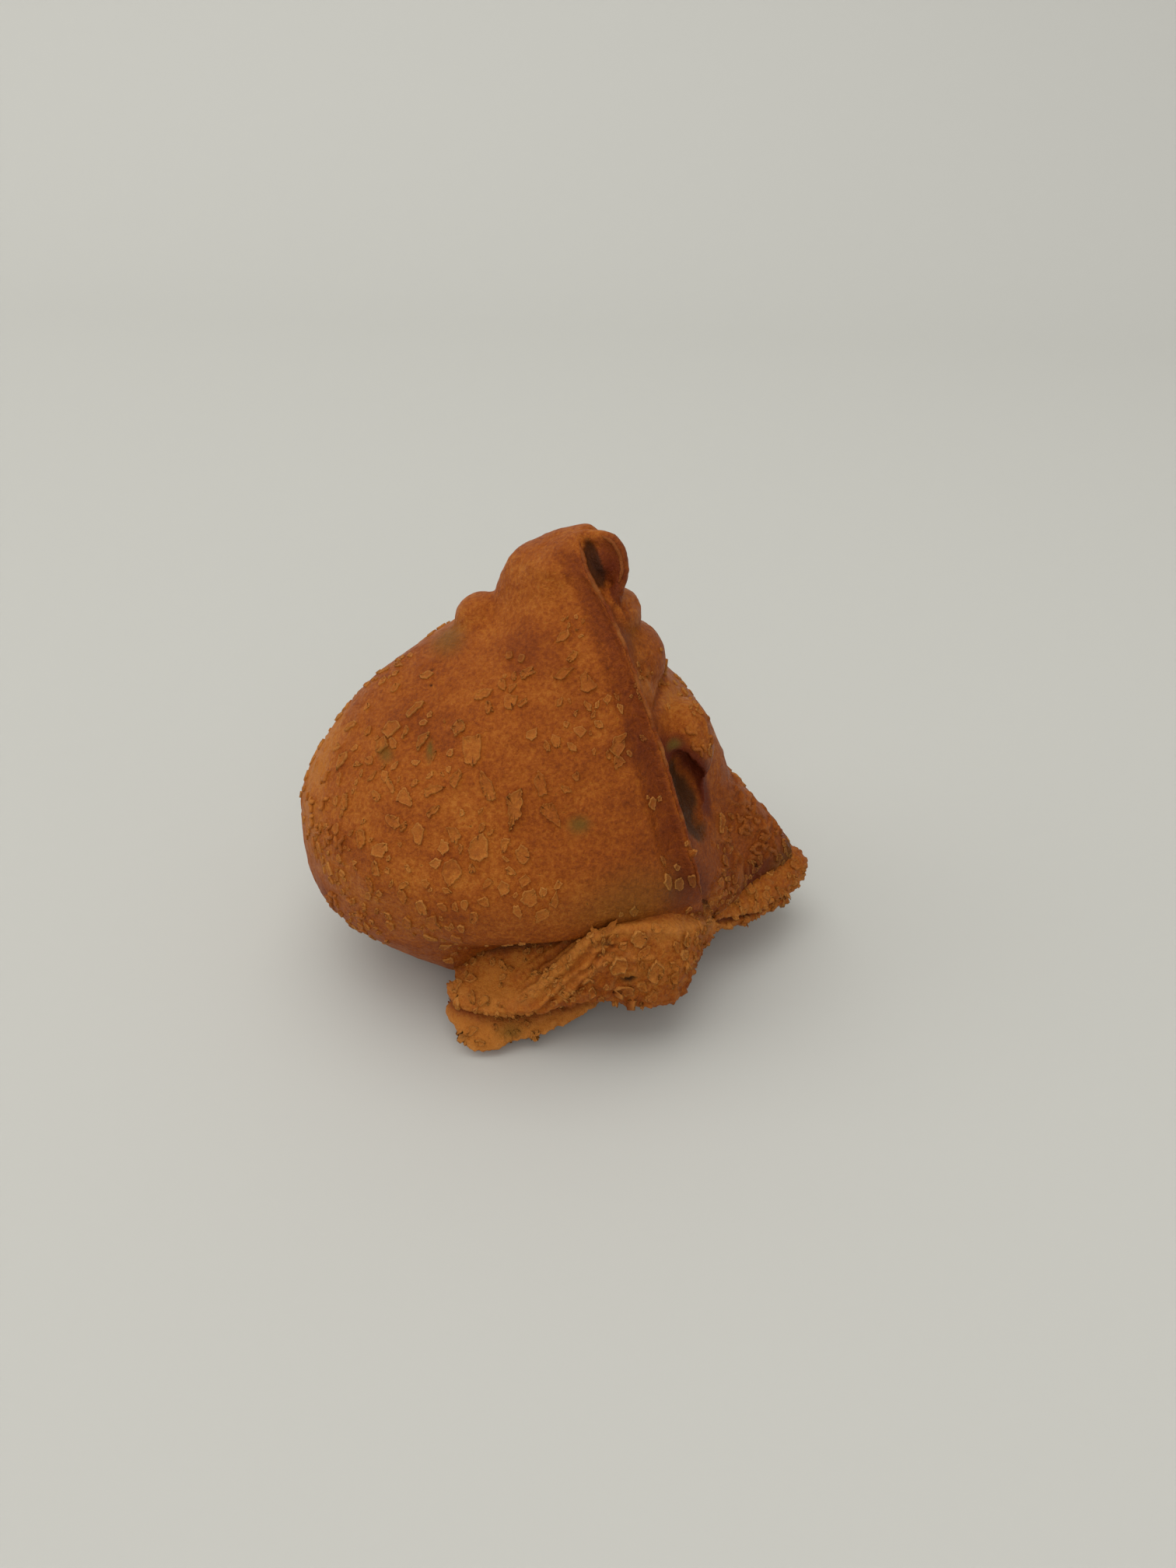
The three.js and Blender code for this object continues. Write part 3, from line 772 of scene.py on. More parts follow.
def raised_lines(name, mesh, lines):
    """Low round ridges along lines laid on the crust, each given as (points, radius)."""
    base = Crust(mesh)
    for points, radius in lines:
        found = [base.tree.find_nearest(Vector(point)) for point in np.asarray(points).tolist()]
        path = np.array([tuple(spot + 0.25 * radius * normal) for spot, normal, _, _ in found])
        v = np.linspace(0, 1, len(path))
        ridge = tube(path, radius * np.clip(6 * np.minimum(v, 1 - v), 0.15, 1) ** 0.6, 10)
        middle = base.corner[found[len(found) // 2][2]]
        base.add(ridge, [middle] * len(ridge[0]), light=0.25)
    return base.mesh(name)


def wrinkle_lines(mesh, patches, seed):
    """Short wandering lines over the crust, for its raised wrinkles."""
    rng = np.random.default_rng(seed)
    base = Crust(mesh)
    lines = []
    for (across, height), spread, count, lean in patches:
        for _ in range(count):
            astray = rng.normal(0, 0.6 * spread, 2)
            heading, swing = math.radians(lean) + rng.normal(0, 0.35), rng.uniform(0.5, 1.2)
            steps, phase = int(rng.integers(8, 20)), rng.uniform(0, 6)
            spot, normal, _ = base.seen_at(across + astray[0], height + astray[1])
            if spot is None:
                continue
            points = []
            for k in range(steps):
                points.append(tuple(spot))
                aside = Vector((0, 0, 1)).cross(normal).normalized()
                turn = heading + swing * math.sin(0.55 * k + phase)
                step = 0.24 * (math.cos(turn) * aside + math.sin(turn) * normal.cross(aside))
                spot, normal, _, _ = base.tree.find_nearest(spot + step)
            if from_holes(points) > 1.3:
                lines.append((points, rng.uniform(0.28, 0.44)))
    return lines


def relax_some(mesh, weight, rounds):
    """Smooths the mesh where `weight` is over 0."""
    edges = np.empty(len(mesh.edges) * 2, np.int32)
    mesh.edges.foreach_get("vertices", edges)
    a, b = edges.reshape(-1, 2).T
    p = places_of(mesh)
    count = len(p)
    shared = np.maximum(np.bincount(a, minlength=count) + np.bincount(b, minlength=count), 1)
    for _ in range(rounds):
        pulls = [np.bincount(a, p[b, k], count) + np.bincount(b, p[a, k], count) for k in range(3)]
        middle = np.stack(pulls, -1) / shared[:, None]
        p = p + (middle - p) * (0.6 * weight)[:, None]
    move_to(mesh, p)


def from_line(p, points):
    """Each point's distance from a smooth line through `points`."""
    line = line_through(points, np.linspace(0, 1, 90))
    return np.sqrt(np.min([((p - spot) ** 2).sum(1) for spot in line], axis=0))


def from_segment(p, a, b):
    a, b = np.array(a, float), np.array(b, float)
    share = np.clip(((p - a) @ (b - a)) / ((b - a) @ (b - a)), 0, 1)
    return np.linalg.norm(p - a - share[:, None] * (b - a), axis=1)


def in_ball(p, at, size, lean=0):
    """Below 1 inside a leaning ball, above 1 outside it."""
    return np.linalg.norm(((p - np.array(at)) @ leaning(lean)) / np.array(size), axis=1)


def fry_wrapper(mesh):
    """Undulation, stretch marks, wrinkles and pits over the wrapper, and the browning that goes with them,
    with painted shade in its creases, pits, holes and pocket.
    """
    p, n = places_of(mesh), normals_of(mesh)
    side, off = seam_side(p)
    x, h = p[:, 0], p[:, 2]
    at = {name: near(p, *place) for name, place in PLACES.items()}
    right = smooth(0.5, 3, side)
    wander = 0.28 * noise(p, 3.2, 5) + 0.15 * noise(p, 1.1, 6)
    lapped = smooth(27, 34, h) * smooth(79, 76, h)
    on_band = smooth(-5.9, -4.6, side + wander) * smooth(-0.5, -1.1, side) * (off < 9) * lapped
    wide, middling, small = fractal(p, 15, 3, 1), fractal(p, 5.2, 3, 11), fractal(p, 1.5, 3, 15)
    move = 0.42 * wide + 0.22 * middling * (1 - 0.7 * on_band) + 0.06 * small
    blister = cells_at(warped(p, 3, 0.7, 25), 2.1, 31)
    move += 0.10 * smooth(0.0, 0.7, blister[1]) * (blister[0] > 0.62) * (1 - on_band)

    comb = np.sin((h + 0.9 * side + 1.4 * noise(p, 5, 51)) * 5.0)
    marks = on_band * smooth(0.2, 0.85, comb) * smooth(-2.8, -4.6, side) * smooth(46, 58, h)
    grain = on_band * fractal(p * (1, 1, 1.6), 1.2, 2, 55)
    move += 0.13 * marks + 0.13 * grain
    streaks = smooth(-36, -44, x) * ridge_lines(p * (1, 1, 0.3), 1.7, 0.3, 65)
    move += 0.12 * streaks

    wing = right * smooth(36, 31, h) * smooth(19, 24, x) * smooth(14, 4, p[:, 1]) * smooth(14, 17, h)
    worms = wing * ridge_lines(p, 3.4, 0.16, 71)
    diamonds = at["diamonds"] * ridge_lines(p * (1, 1, 0.6), 3.0, 0.14, 75)
    move += 0.62 * worms + 0.42 * diamonds
    rays = right * at["rays"] * np.sin(7.5 * (x + 0.3 * h) + 2 * noise(p, 4, 81))
    pinch = at["pinch"] * np.sin(h * 2.4 + x * 2.6)
    rough = at["rough"] * fractal(p * (1, 1, 0.6), 1.3, 2, 85)
    crumbs = fractal(p, 1.2, 2, 87)
    bud = in_ball(p, *FOLDS[-1]) - 1.16
    uneven = np.clip(0.6 + 0.9 * noise(p, 5, 93), 0, 1.3)
    inside = smooth(1.16, 1.02, in_ball(p, *POCKET))
    torn = 0.34 * fractal(p * (1, 1, 0.6), 2.0, 3, 89) + 0.30 * ridge_lines(p * (1, 1, 0.5), 2.2, 0.2, 90)
    move += inside * torn
    # A crease sunk round the bud; the browning below darkens it as painted shade.
    ring = 0.3 * uneven * bell(bud, 0.12)
    move += 0.13 * rays - ring + 0.16 * pinch + 0.45 * rough + 0.45 * at["kink"] * crumbs
    # The creases between the folds, sunk here and darkened in the browning below as painted shade.
    fold = right * sum(bell(from_segment(p, a, b), 0.8) * depth for a, b, depth in CREASES)
    move -= fold
    # Small pits sunk into the crust and painted dark inside as shade.
    cell, _, inner = cells_at(p, 3.4, 91)
    pits = (cell < 0.07) * smooth(0.42, 0.12, inner)
    move -= 0.3 * pits
    moved = p + n * move[:, None]
    moved[:, 2] = np.maximum(moved[:, 2], 0)
    move_to(mesh, moved)

    # The pocket's inside, painted a little redder and browner as shade.
    pocket_shade = inside * (side > 0.3)
    pocket_at, pocket_size, pocket_lean = POCKET
    across = ((p - np.array(pocket_at)) @ leaning(pocket_lean))[:, 0] / pocket_size[0]
    across = across + 0.25 * noise(p, 2.5, 99)
    # The gap in the pocket's left side, beside the lip, painted dark with a little olive: painted shade.
    gap = pocket_shade * smooth(-0.25, -0.65, across) * smooth(31, 35, h) * smooth(48, 44, h)
    gap = np.maximum(gap, smooth(1.22, 1.05, in_ball(p, *GAP)) * (side > 0.3) * (off < 12))
    # Beside the lip: painted browner, red and darker as the lip's shadow.
    beside = smooth(5.5, 1.0, side) * (side > 0.15) * (off < 9) * smooth(20, 28, h) * smooth(78, 72, h)
    # The hole in the tip is painted dark as shade.
    hole = smooth(1.35, 1.0, in_ball(p, *TIP_HOLE)) * smooth(-2.5, -0.5, side)
    # A curved band round the pocket's rim, painted browner and red as the shade under the lobe's overhang.
    rim = smooth(1.5, 1.15, in_ball(p, *POCKET)) * smooth(1.0, 2.5, side)
    crescent_shade = rim * np.maximum(smooth(-0.2, 0.2, across), smooth(45, 49, h))
    saddle = at["saddle"] + 0.7 * at["below saddle"]
    patch = at["patch"] * smooth(-0.4, 0.3, noise(p, 1.6, 97))
    # Painted shade in the groove under the wing.
    shade_under_wing = smooth(5.6, 1.6, from_segment(p, *SHADE_UNDER_WING))
    hood = at["hood"] * smooth(-1.2, 0.6, side)
    # The browning includes painted shade: where the belly tucks into the skirt, beside the lip, in the pocket
    # and round its rim, in the creases between the folds, round the bud and under the wing.
    brown = (
        0.40 + 0.16 * wide + 0.10 * middling + 0.10 * small + 0.10 * fractal(p * (0.35, 0.6, 1.2), 4.5, 3, 61)
        + 0.16 * smooth(-8, 16, x) * smooth(12, -8, p[:, 1]) + 0.12 * smooth(26, 14, h) + 0.16 * saddle
        + 0.30 * at["tucked_shade"] + 0.2 * at["corner"] + 0.46 * beside + 0.06 * pocket_shade + 0.4 * crescent_shade
        + 0.15 * on_band * smooth(30, 50, h) + 0.10 * on_band + 0.08 * right * smooth(42, 32, h)
        + 0.5 * fold + 0.22 * uneven * bell(bud, 0.14) + 0.10 * patch - 0.12 * marks + 0.06 * grain
        + 0.3 * shade_under_wing + 0.32 * hood + 0.06 * at["third fold"] * right
        + spots(p, BROWN_SPOTS) - spots(p, PALE_SPOTS) - 0.2 * diamonds - 0.30 * at["kink"])
    # The red is the pressed band's and patches' own colour, and painted shade where the belly tucks into the
    # skirt, in the pocket, round its rim, beside the lip and under the wing.
    red = (
        0.34 * on_band * smooth(-5.5, -2.5, side) + 0.15 * pocket_shade + 0.9 * crescent_shade + 0.35 * at["tucked_shade"]
        + 0.7 * at["corner"] + 0.2 * saddle + 0.4 * patch + 0.65 * beside + 0.6 * shade_under_wing + 0.75 * hood
        + 0.35 * right * at["wing foot"])
    green = spots(p, GREEN_SPOTS) + 0.35 * gap + 0.35 * shade_under_wing * smooth(30, 37, x)
    light = 0.25 * worms + 0.3 * diamonds + 0.5 * at["kink"] * (crumbs > 0) + 0.9 * np.clip(rough, 0, 1)
    # Painted shade: in the pits, the tip's hole, the gap and beside the lip.
    dark = pits + 0.9 * hole + 0.85 * gap + 0.3 * beside * smooth(3, 1, side)
    paint_looks(
        mesh, browning=brown, red=np.clip(red, 0, 1), green=np.clip(green, 0, 1), light=np.clip(light, 0, 1),
        dark=np.clip(dark, 0, 1))


def fry_edge(mesh, roughness, salt, thin, calm=1.0):
    """Roughens the thin dough, all the more where it is `thin`, and less on top where it is `calm`.

    Gives back its browning and its light."""
    p, n = places_of(mesh), normals_of(mesh)
    wide, lumps, grit = fractal(p, 7, 3, salt), fractal(p, 2.6, 3, salt + 9), fractal(p, 1.0, 3, salt + 15)
    worms = ridge_lines(p * (0.8, 1, 0.9), 2.6, 0.16, salt + 27) * smooth(0.6, -0.1, n[:, 2])
    roughness = roughness * mix(1, calm, smooth(0.25, 0.75, n[:, 2]) * (1 - thin))
    move = 0.36 * wide + roughness * (0.24 * lumps + 0.22 * grit) + 0.24 * worms
    move += thin * (0.32 * grit + 0.36 * lumps)
    move_to(mesh, p + n * move[:, None])
    brown = 0.29 + 0.14 * wide + 0.24 * lumps + 0.26 * grit - 0.12 * thin
    light = 0.35 * worms + 0.8 * thin * smooth(-0.3, 0.5, grit) + 0.35 * smooth(0.1, 0.6, grit)
    return brown, np.clip(light, 0, 1)


def fry_skirt(mesh):
    """Fibres, ribs, a torn arc, a star-shaped hole and a slit over the skirt, with painted shade in the fold
    along the belly, the hole and the slit, and painted light on the shelf and ridge.
    """
    p = places_of(mesh)
    x, h = p[:, 0], p[:, 2]
    lines = (SKIRT_CREST, SKIRT_HEM, SKIRT_CREASE, SKIRT_ARC)
    crest, hem, fold, arc = (from_line(p, line) for line in lines)
    raw = bell(hem, 1.2) * smooth(-6, -12, x)
    star = near(p, *STAR) * smooth(-0.2, 0.2, noise(p, 0.9, 5))
    slit = near(p, *SLIT)
    ragged = bell(arc, 0.8) * (0.7 + 0.6 * noise(p, 1.4, 9))
    fibres = smooth(-11, -7, x) * smooth(8, 2, x) * smooth(7, 2, crest) * np.sin(
        3.4 * crest + 2.6 * noise(p, 4, 19) + 1.2 * noise(p, 1.6, 20))
    ribs = smooth(-8, -4, x) * ridge_lines(p * (1, 1, 0.4), 2.4, 0.2, 13)
    ribs = ribs * smooth(0.4, 0, normals_of(mesh)[:, 2])
    ridge, crease_shade = bell(crest, 1.7), bell(fold, 1.6)
    brown, light = fry_edge(mesh, 1.3, 101, raw, 0.35)
    # The fold along the belly is painted browner as shade.
    brown += 0.40 * bell(fold, 1.9) + 0.10 * smooth(20, 8, h) * smooth(-8, 0, x)
    # The shelf is painted paler, standing in for light bounced up from the floor.
    brown -= 0.12 * smooth(-6, -10, x) * smooth(7, 9, h)
    # The ridge is painted paler and lighter, a painted highlight where it catches the light; the torn arc and
    # the fibres are paler too.
    brown -= 0.30 * ridge * smooth(-12, -4, x) + 0.15 * ragged + 0.12 * fibres
    # Painted shade: red, olive and dark in the fold along the belly, dark in the star-shaped hole and the
    # slit; the olive round the slit is a stain.
    paint_looks(
        mesh, browning=brown, red=np.clip(0.5 * crease_shade + 0.6 * near(p, *SKIRT_RED), 0, 1),
        green=0.4 * near(p, *SLIT_STAIN) + 0.25 * crease_shade,
        light=np.clip(light + 0.5 * ragged + 0.3 * ridge, 0, 1),
        dark=np.clip(0.8 * star + 1.8 * slit + 0.6 * bell(fold, 1.0), 0, 1))
    raised = 0.9 * ragged + 0.40 * fibres + 0.6 * ribs + 0.5 * ridge * smooth(-20, -14, x)
    raised = raised + 0.3 * ridge * noise(p, 2, 17) - 0.4 * star - slit
    move_to(mesh, places_of(mesh) + normals_of(mesh) * raised[:, None])


def fry_under(mesh):
    p = places_of(mesh)
    brown, light = fry_edge(mesh, 1.1, 141, 0.7 * bell(from_line(p, UNDER_TOE), 1.1))
    # Painted shade: the under layer's back, beneath the skirt, is browner and darker, and its top line, where
    # it runs in under the skirt, browner, red and less light.
    deep = smooth(-27.5, -24, p[:, 1])
    torn = bell(from_line(p, UNDER_TOP), 1.6)
    # The whole under layer is painted paler and lighter, standing in for light bounced up from the floor.
    paint_looks(
        mesh, browning=brown - 0.26 + 0.4 * deep + 0.35 * torn, red=0.7 * torn,
        light=(light + 0.2) * (1 - 0.7 * torn), green=0.7 * near(p, *UNDER_STAIN), dark=0.5 * deep)


def fry_strip(mesh):
    """The sealed edge's surface, with a crack between its two layers, painted red and darker: partly the
    dough's own red, partly painted shade.
    """
    p = places_of(mesh)
    line = line_through(STRIP_EDGE, np.linspace(0, 1, 90))
    level = line[np.argmin(np.linalg.norm(p[:, None, :2] - line[None, :, :2], axis=2), 1), 2]
    crack = bell(p[:, 2] - level, 0.5) * smooth(38, 31, p[:, 0])
    raw = bell(from_line(p, STRIP_EDGE), 2.4)
    brown, light = fry_edge(mesh, 1.9, 181, 0.55 * raw * (1 - crack))
    paint_looks(mesh, browning=brown + 0.3 * crack, red=0.9 * crack, light=light, dark=0.45 * crack)


# ---------------------------------------------------------------- the dough's material
class Nodes:
    """Makes nodes in columns and joins them."""

    def __init__(self, tree):
        self.tree, self.columns = tree, {}
        tree.nodes.clear()

    def add(self, kind, column, **settings):
        made = self.tree.nodes.new(kind)
        self.columns[column] = self.columns.get(column, 0) + 1
        made.location = (column * 240, -240 * self.columns[column])
        for key, value in settings.items():
            setattr(made, key, value)
        return made

    def feed(self, value, socket):
        if isinstance(value, bpy.types.NodeSocket):
            self.tree.links.new(value, socket)
        elif isinstance(value, (int, float)):
            socket.default_value = value
        else:
            socket.default_value = (*value[:3], 1) if socket.type == "RGBA" else value

    def maths(self, operation, column, a, b, clamp=False):
        made = self.add("ShaderNodeMath", column, operation=operation, use_clamp=clamp)
        self.feed(a, made.inputs[0])
        self.feed(b, made.inputs[1])
        return made.outputs[0]

    def plus(self, column, a, b):
        return self.maths("ADD", column, a, b)

    def times(self, column, a, b, clamp=False):
        return self.maths("MULTIPLY", column, a, b, clamp)

    def blend(self, column, factor, a, b):
        made = self.add("ShaderNodeMix", column, data_type="RGBA")
        coloured = [s for s in made.inputs if s.type == "RGBA"]
        self.feed(factor, next(s for s in made.inputs if s.name == "Factor" and s.type == "VALUE"))
        self.feed(a, coloured[0])
        self.feed(b, coloured[1])
        return next(s for s in made.outputs if s.type == "RGBA")

    def ramp(self, column, value, stops, interpolation):
        made = self.add("ShaderNodeValToRGB", column)
        made.color_ramp.interpolation = interpolation
        elements = made.color_ramp.elements
        while len(elements) > 1:
            elements.remove(elements[0])
        for k, (position, colour) in enumerate(stops):
            element = elements[0] if k == 0 else elements.new(position)
            element.position = position
            element.color = (*colour, 1)
        self.feed(value, made.inputs["Fac"])
        return made.outputs["Color"]

    def fed(self, kind, column, **values):
        """A node with its inputs fed, each named like the input with _ for a space."""
        made = self.add(kind, column)
        for key, value in values.items():
            self.feed(value, made.inputs[key.replace("_", " ")])
        return made

    def noise(self, where, scale, detail, roughness):
        grain = {"Vector": where, "Scale": scale, "Detail": detail, "Roughness": roughness}
        return self.fed("ShaderNodeTexNoise", 0, **grain).outputs["Fac"]

    def attribute(self, name):
        return self.add("ShaderNodeAttribute", 0, attribute_name=name).outputs["Fac"]


def crust_material(settings):
    """Fried dough: unevenly browned, lighter on flakes and thin edges and with painted highlights, olive over
    the filling, darkened with painted shade, a bit oily.
    """
    material = bpy.data.materials.new("samosa_crust")
    material.use_nodes = True
    make = Nodes(material.node_tree)
    where = make.add("ShaderNodeTexCoord", -1).outputs["Object"]
    browning, red, green, light, dark = (make.attribute(name) for name in LOOKS)
    patches, mottle, speckle, fine = (make.noise(where, *grain) for grain in GRAINS)

    tone = browning
    for column, (texture, amount) in enumerate(((patches, 0.45), (mottle, 0.44), (speckle, 1.5)), 1):
        swung = make.times(column, make.maths("SUBTRACT", column, texture, 0.5), amount)
        tone = make.plus(column, tone, swung)
    stops = zip(BROWNING_STOPS, (settings.pale, settings.golden, settings.brown, settings.deep))
    colour = make.ramp(4, make.times(4, tone, 0.8), stops, "B_SPLINE")
    reddened = make.times(5, red, make.plus(5, mottle, 0.35), clamp=True)
    lit = make.times(7, make.times(7, light, make.plus(7, speckle, 0.25), clamp=True), 0.75)
    stained = make.times(9, green, make.plus(9, patches, 0.35), clamp=True)
    pricks = make.ramp(9, speckle, ((0.25, (1.0,) * 3), (0.33, (0.0,) * 3)), "EASE")
    # The dark look is painted shade; the pricks are the dough's own fine dark specks.
    sunk = make.times(11, make.maths("MAXIMUM", 11, dark, make.times(10, pricks, 0.5)), 0.9)
    # Laid over the browning: red, for the band's own colour and for painted shade; the flakes' paler colour
    # with painted highlights; the filling's olive; then painted shade and the dark specks.
    layers = (reddened, settings.red), (lit, settings.flake), (stained, settings.olive), (sunk, settings.gap)
    for column, (amount, laid_over) in zip((6, 8, 10, 11), layers):
        colour = make.blend(column, amount, colour, laid_over)

    relief = make.plus(8, make.times(8, speckle, 0.55), make.times(8, fine, 0.28))
    relief = make.plus(9, make.times(9, mottle, 0.65), relief)
    relief = make.maths("SUBTRACT", 10, relief, make.times(10, pricks, 0.4))
    bump = make.fed("ShaderNodeBump", 11, Strength=0.9, Distance=0.0008, Height=relief)
    gloss = make.plus(11, make.times(11, mottle, 0.34), 0.30)
    shader = make.fed(
        "ShaderNodeBsdfPrincipled", 12, Base_Color=colour, Roughness=gloss, Normal=bump.outputs["Normal"],
        Specular_IOR_Level=0.14, Subsurface_Weight=0.05, Subsurface_Radius=(1.0, 0.35, 0.12),
        Subsurface_Scale=0.0012)
    make.fed("ShaderNodeOutputMaterial", 13, Surface=shader.outputs["BSDF"])
    return material


def crust(settings):
    return bpy.data.materials.get("samosa_crust") or crust_material(settings)


def place_piece(mesh, name, settings, replaces=()):
    """Sets a mesh made in millimetres into the part's frame, in metres, and gives it its dough."""
    places = (places_of(mesh) - MIDDLE) * MM
    move_to(mesh, places)
    mesh.shade_smooth()
    mesh.materials.clear()
    mesh.materials.append(crust(settings))
    piece = put(name, mesh)
    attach(piece, "root")
    if replaces:
        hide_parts(*replaces)


def place_with_flakes(mesh, name, flakes_name, settings, scatter):
    flakes = flake_plates(flakes_name, mesh, *scatter)
    place_piece(mesh, name, settings)
    place_piece(flakes, flakes_name, settings)


def thin_dough(name, made, grain, rounds):
    return relaxed(remeshed(mesh_of(name, [made]), grain), rounds)


# ---------------------------------------------------------------- settings a user would change
def colour_setting(name, description, default):
    return bpy.props.FloatVectorProperty(
        name=name, description=description, subtype="COLOR", size=3, min=0, max=1, default=default)


class SamosaSettings(bpy.types.PropertyGroup):
    wrapper_grain: bpy.props.FloatProperty(
        name="Wrapper grain", description="The wrapper's mesh size, in millimetres", default=0.36, min=0.25,
        max=2)
    edge_grain: bpy.props.FloatProperty(
        name="Edge grain", description="The edges' mesh size, in millimetres", default=0.3, min=0.2, max=2)
    pale: colour_setting("Pale dough", "Where the dough has browned least", (0.49, 0.168, 0.022))
    golden: colour_setting("Golden dough", "The lighter golden brown", (0.365, 0.089, 0.006))
    brown: colour_setting("Brown dough", "The middle brown", (0.26, 0.053, 0.003))
    deep: colour_setting("Deep brown", "Where the dough has browned most", (0.10, 0.018, 0.003))
    # Red brown also colours painted shade in the pocket, beside the lip and in the creases.
    red: colour_setting("Red brown", "The pressed band and the hollows", (0.13, 0.018, 0.004))
    # Flake edge also colours painted highlights on flake rims and the lip.
    flake: colour_setting("Flake edge", "The rims of the flakes and the thin edges", (0.60, 0.25, 0.055))
    olive: colour_setting("Olive", "Where the filling tints the dough", (0.13, 0.085, 0.012))
    # Dark gap is the colour of painted shade.
    gap: colour_setting("Dark gap", "Holes, pits and the gap beside the seam", (0.03, 0.010, 0.003))


class StageSettings(bpy.types.PropertyGroup):
    floor: colour_setting("Floor", "The plain pale floor and backdrop", (0.555, 0.555, 0.525))
    lens: bpy.props.FloatProperty(
        name="Lens", description="Focal length, in millimetres", default=27.04, unit="NONE")
    pitch: bpy.props.FloatProperty(
        name="Pitch", description="How far the camera looks down", subtype="ANGLE",
        default=math.radians(32.43))
    roll: bpy.props.FloatProperty(
        name="Roll", description="How far the camera leans", default=math.radians(1.81), subtype="ANGLE")
    place: bpy.props.FloatVectorProperty(
        name="Camera place", description="Where the camera stands", size=3, subtype="TRANSLATION",
        unit="LENGTH", default=(0.003858, -0.177502, 0.1458))


# ---------------------------------------------------------------- operators
class SAMOSA_OT_wrapper(bpy.types.Operator):
    """The filled wrapper with its lapped seam, curled tip and folds"""
    bl_idname = "samosa.wrapper"
    bl_label = "Wrapper"

    def execute(self, context):
        settings = context.scene.samosa
        grain = settings.wrapper_grain
        cone = with_hole(mesh_of("cone", [wrapper_shell()]), TIP_HOLE)
        whole = mesh_of("folds", [ball(*fold) for fold in FOLDS] + [hood_shell()])
        joined = bmesh.new()
        for part in (cone, whole):
            joined.from_mesh(part)
        joined.to_mesh(cone)
        joined.free()
        mesh = with_hole(with_hole(remeshed(cone, grain), POCKET), GAP)
        mesh = relaxed(remeshed(mesh, grain), 1)
        p = places_of(mesh)
        side, _ = seam_side(p)
        relax_some(mesh, smooth(1.0, 3.0, side) * smooth(52, 56, p[:, 2]) * smooth(76, 70, p[:, 2]), 12)
        rim = np.abs(in_ball(p, *POCKET) - 1)
        relax_some(mesh, smooth(2.0, 4.0, side) * smooth(0.5, 0.15, rim), 16)
        fry_wrapper(mesh)
        triangles = 2 * len(mesh.polygons)
        if triangles > MOST_TRIANGLES:
            mesh = with_modifier(mesh, "DECIMATE", ratio=MOST_TRIANGLES / triangles)
        flakes = flake_plates("samosa_flakes", mesh, *WRAPPER_SCATTER)
        hood_rim = (line_through(HOOD_RIM, np.linspace(0, 1, 40)), HOOD_RIM_RADIUS)
        wrinkles = raised_lines("samosa_wrinkles", mesh, wrinkle_lines(mesh, WRINKLES, 23) + [hood_rim])
        lip = mesh_of("lip", [lip_shell(mesh)])
        place_piece(mesh, "samosa_wrapper", settings, ("samosa",))
        place_piece(flakes, "samosa_flakes", settings)
        place_piece(wrinkles, "samosa_wrinkles", settings)
        p = places_of(lip)
        # The lip's light is painted highlight along the band's cut edge.
        paint_looks(
            lip, browning=0.64 + 0.2 * fractal(p, 3, 3, 231), red=0.45 + 0 * p[:, 0],
            light=np.clip(0.12 + 0.8 * fractal(p, 2.2, 3, 235), 0, 0.6))
        place_piece(lip, "samosa_lip", settings)
        return {"FINISHED"}


class SAMOSA_OT_skirt(bpy.types.Operator):
    """The turned-up skirt in front and the under layer below it"""
    bl_idname = "samosa.skirt"
    bl_label = "Skirt and under layer"

    def execute(self, context):
        settings = context.scene.samosa
        grain = settings.edge_grain
        mesh = thin_dough("skirt", skirt_shell(), grain, 2)
        fry_skirt(mesh)
        place_with_flakes(mesh, "samosa_skirt", "samosa_skirt_flakes", settings, SKIRT_SCATTER)
        thread = tube(line_through(LOOSE_THREAD, np.linspace(0, 1, 12)), np.full(12, 0.13), 10)
        loose = mesh_of("loose", [loose_shell(), thread])
        ones = np.ones(len(loose.vertices))
        paint_looks(loose, browning=0.2 * ones, light=0.35 * ones)
        place_piece(loose, "samosa_loose_flake", settings)

        mesh = thin_dough("under_layer", under_shell(), grain, 3)
        fry_under(mesh)
        place_with_flakes(mesh, "samosa_under_layer", "samosa_under_flakes", settings, UNDER_SCATTER)
        return {"FINISHED"}


class SAMOSA_OT_edge(bpy.types.Operator):
    """The sealed strip along the wing, with the crack between its two layers"""
    bl_idname = "samosa.edge"
    bl_label = "Sealed edge"

    def execute(self, context):
        settings = context.scene.samosa
        mesh = thin_dough("strip", strip_shell(), settings.edge_grain, 2)
        fry_strip(mesh)
        place_with_flakes(mesh, "samosa_sealed_edge", "samosa_edge_flakes", settings, EDGE_SCATTER)
        return {"FINISHED"}


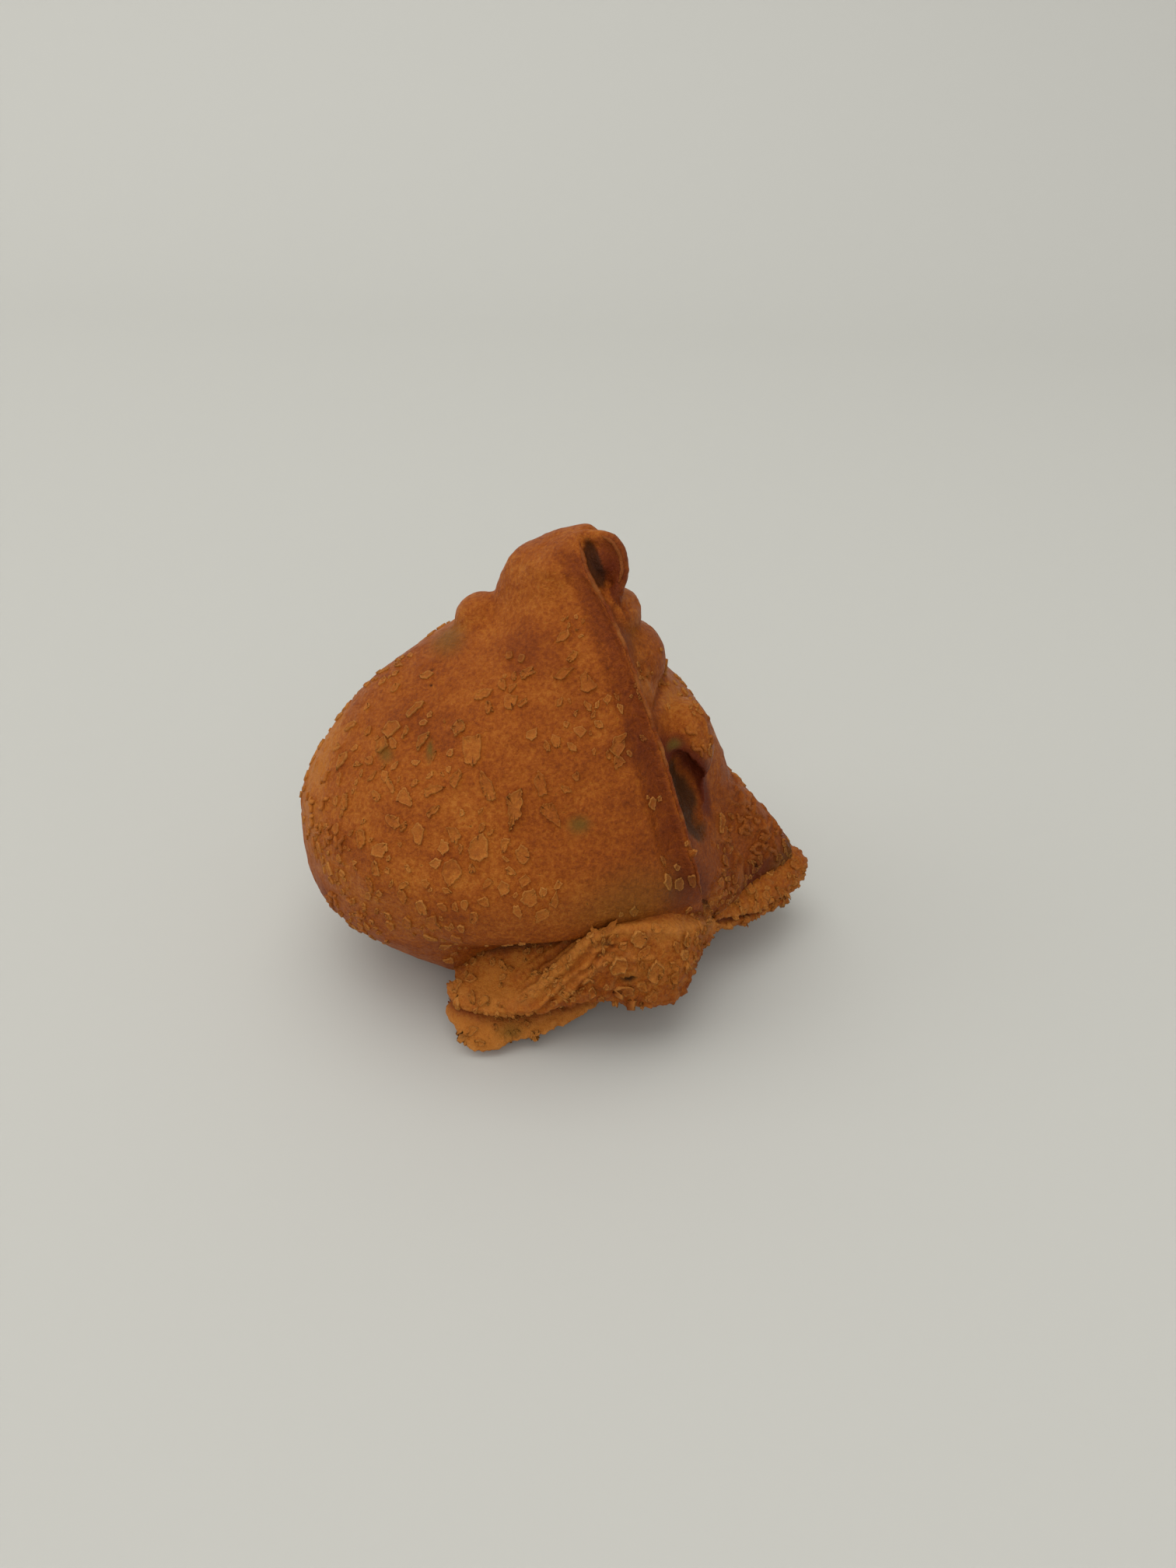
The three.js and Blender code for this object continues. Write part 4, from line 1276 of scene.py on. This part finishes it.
class SAMOSA_OT_stage(bpy.types.Operator):
    """A plain pale floor that sweeps up behind, soft studio light and the camera"""
    bl_idname = "samosa.stage"
    bl_label = "Stage"

    def execute(self, context):
        scene, settings = context.scene, context.scene.samosa_stage
        material = bpy.data.materials.new("pale_floor")
        material.use_nodes = True
        make = Nodes(material.node_tree)
        stops = [(place, [c * share for c in settings.floor]) for place, share in ((0.0, 0.985), (1.0, 1.0))]
        tint = make.ramp(1, make.fed("ShaderNodeTexNoise", 0, Scale=6).outputs["Fac"], stops, "LINEAR")
        shader = make.fed(
            "ShaderNodeBsdfPrincipled", 2, Base_Color=tint, Roughness=0.6, Specular_IOR_Level=0.25)
        make.fed("ShaderNodeOutputMaterial", 3, Surface=shader.outputs["BSDF"])
        profile = [(y, 0.0) for y in (-2.5, -1.0, 0.0, SWEEP_START)]
        for a in np.linspace(0.1, math.pi / 2, 14):
            profile.append((SWEEP_START + SWEEP_ROUND * math.sin(a), SWEEP_ROUND - SWEEP_ROUND * math.cos(a)))
        profile.append((SWEEP_START + SWEEP_ROUND, 2.6))
        points = [(x, y, z) for y, z in profile for x in (-3.0, 3.0)]
        faces = [(2 * k, 2 * k + 1, 2 * k + 3, 2 * k + 2) for k in range(len(profile) - 1)]
        mesh = bpy.data.meshes.new("floor")
        mesh.from_pydata(points, [], faces)
        mesh.shade_smooth()
        mesh.materials.append(material)
        floor = put("floor", mesh)

        for name, (at, size, power) in LIGHTS.items():
            light = bpy.data.lights.new(name, "AREA")
            light.shape, light.size, light.energy = "SQUARE", size, power
            light.color = (1.0, 0.985, 0.955)
            holder = put(name, light)
            holder.location = at
            holder.rotation_euler = (Vector((0, 0, 0.03)) - Vector(at)).to_track_quat("-Z", "Y").to_euler()
        world = bpy.data.worlds.new("soft_room")
        world.use_nodes = True
        back = next(n for n in world.node_tree.nodes if n.type == "BACKGROUND")
        back.inputs["Color"].default_value = (1.0, 0.99, 0.96, 1)
        back.inputs["Strength"].default_value = 0.45
        scene.world = world
        scene.view_settings.view_transform = "Standard"

        pitch, roll = settings.pitch, settings.roll
        forward = Vector((0, math.cos(pitch), -math.sin(pitch)))
        level, up = Vector((1, 0, 0)), Vector((0, math.sin(pitch), math.cos(pitch)))
        right = math.cos(roll) * level + math.sin(roll) * up
        above = -math.sin(roll) * level + math.cos(roll) * up
        data = bpy.data.cameras.new("camera")
        data.lens, data.sensor_width, data.sensor_fit = settings.lens, 36, "AUTO"
        data.clip_start, data.clip_end = 0.01, 20
        camera = put("camera", data)
        facing = Matrix((right, above, -forward)).transposed().to_4x4()
        camera.matrix_world = Matrix.Translation(settings.place) @ facing
        scene.camera = camera
        return {"FINISHED"}


class SAMOSA_PT_panel(bpy.types.Panel):
    bl_idname = "SAMOSA_PT_panel"
    bl_label = "Samosa"
    bl_space_type = "VIEW_3D"
    bl_region_type = "UI"
    bl_category = "Samosa"

    def draw(self, context):
        layout = self.layout
        for group in (context.scene.samosa, context.scene.samosa_stage):
            for key in group.__annotations__:
                layout.prop(group, key)
        for operator in OPERATORS:
            layout.operator(operator.bl_idname)


OPERATORS = (SAMOSA_OT_stage, SAMOSA_OT_wrapper, SAMOSA_OT_skirt, SAMOSA_OT_edge)
CLASSES = (SamosaSettings, StageSettings, *OPERATORS, SAMOSA_PT_panel)


def register():
    for cls in CLASSES:
        bpy.utils.register_class(cls)
    bpy.types.Scene.samosa = bpy.props.PointerProperty(type=SamosaSettings)
    bpy.types.Scene.samosa_stage = bpy.props.PointerProperty(type=StageSettings)


def unregister():
    del bpy.types.Scene.samosa
    del bpy.types.Scene.samosa_stage
    for cls in reversed(CLASSES):
        bpy.utils.unregister_class(cls)


def main():
    register()
    bpy.ops.samosa.stage()
    bpy.ops.samosa.wrapper()
    bpy.ops.samosa.skirt()
    bpy.ops.samosa.edge()


if __name__ == "__main__":
    main()
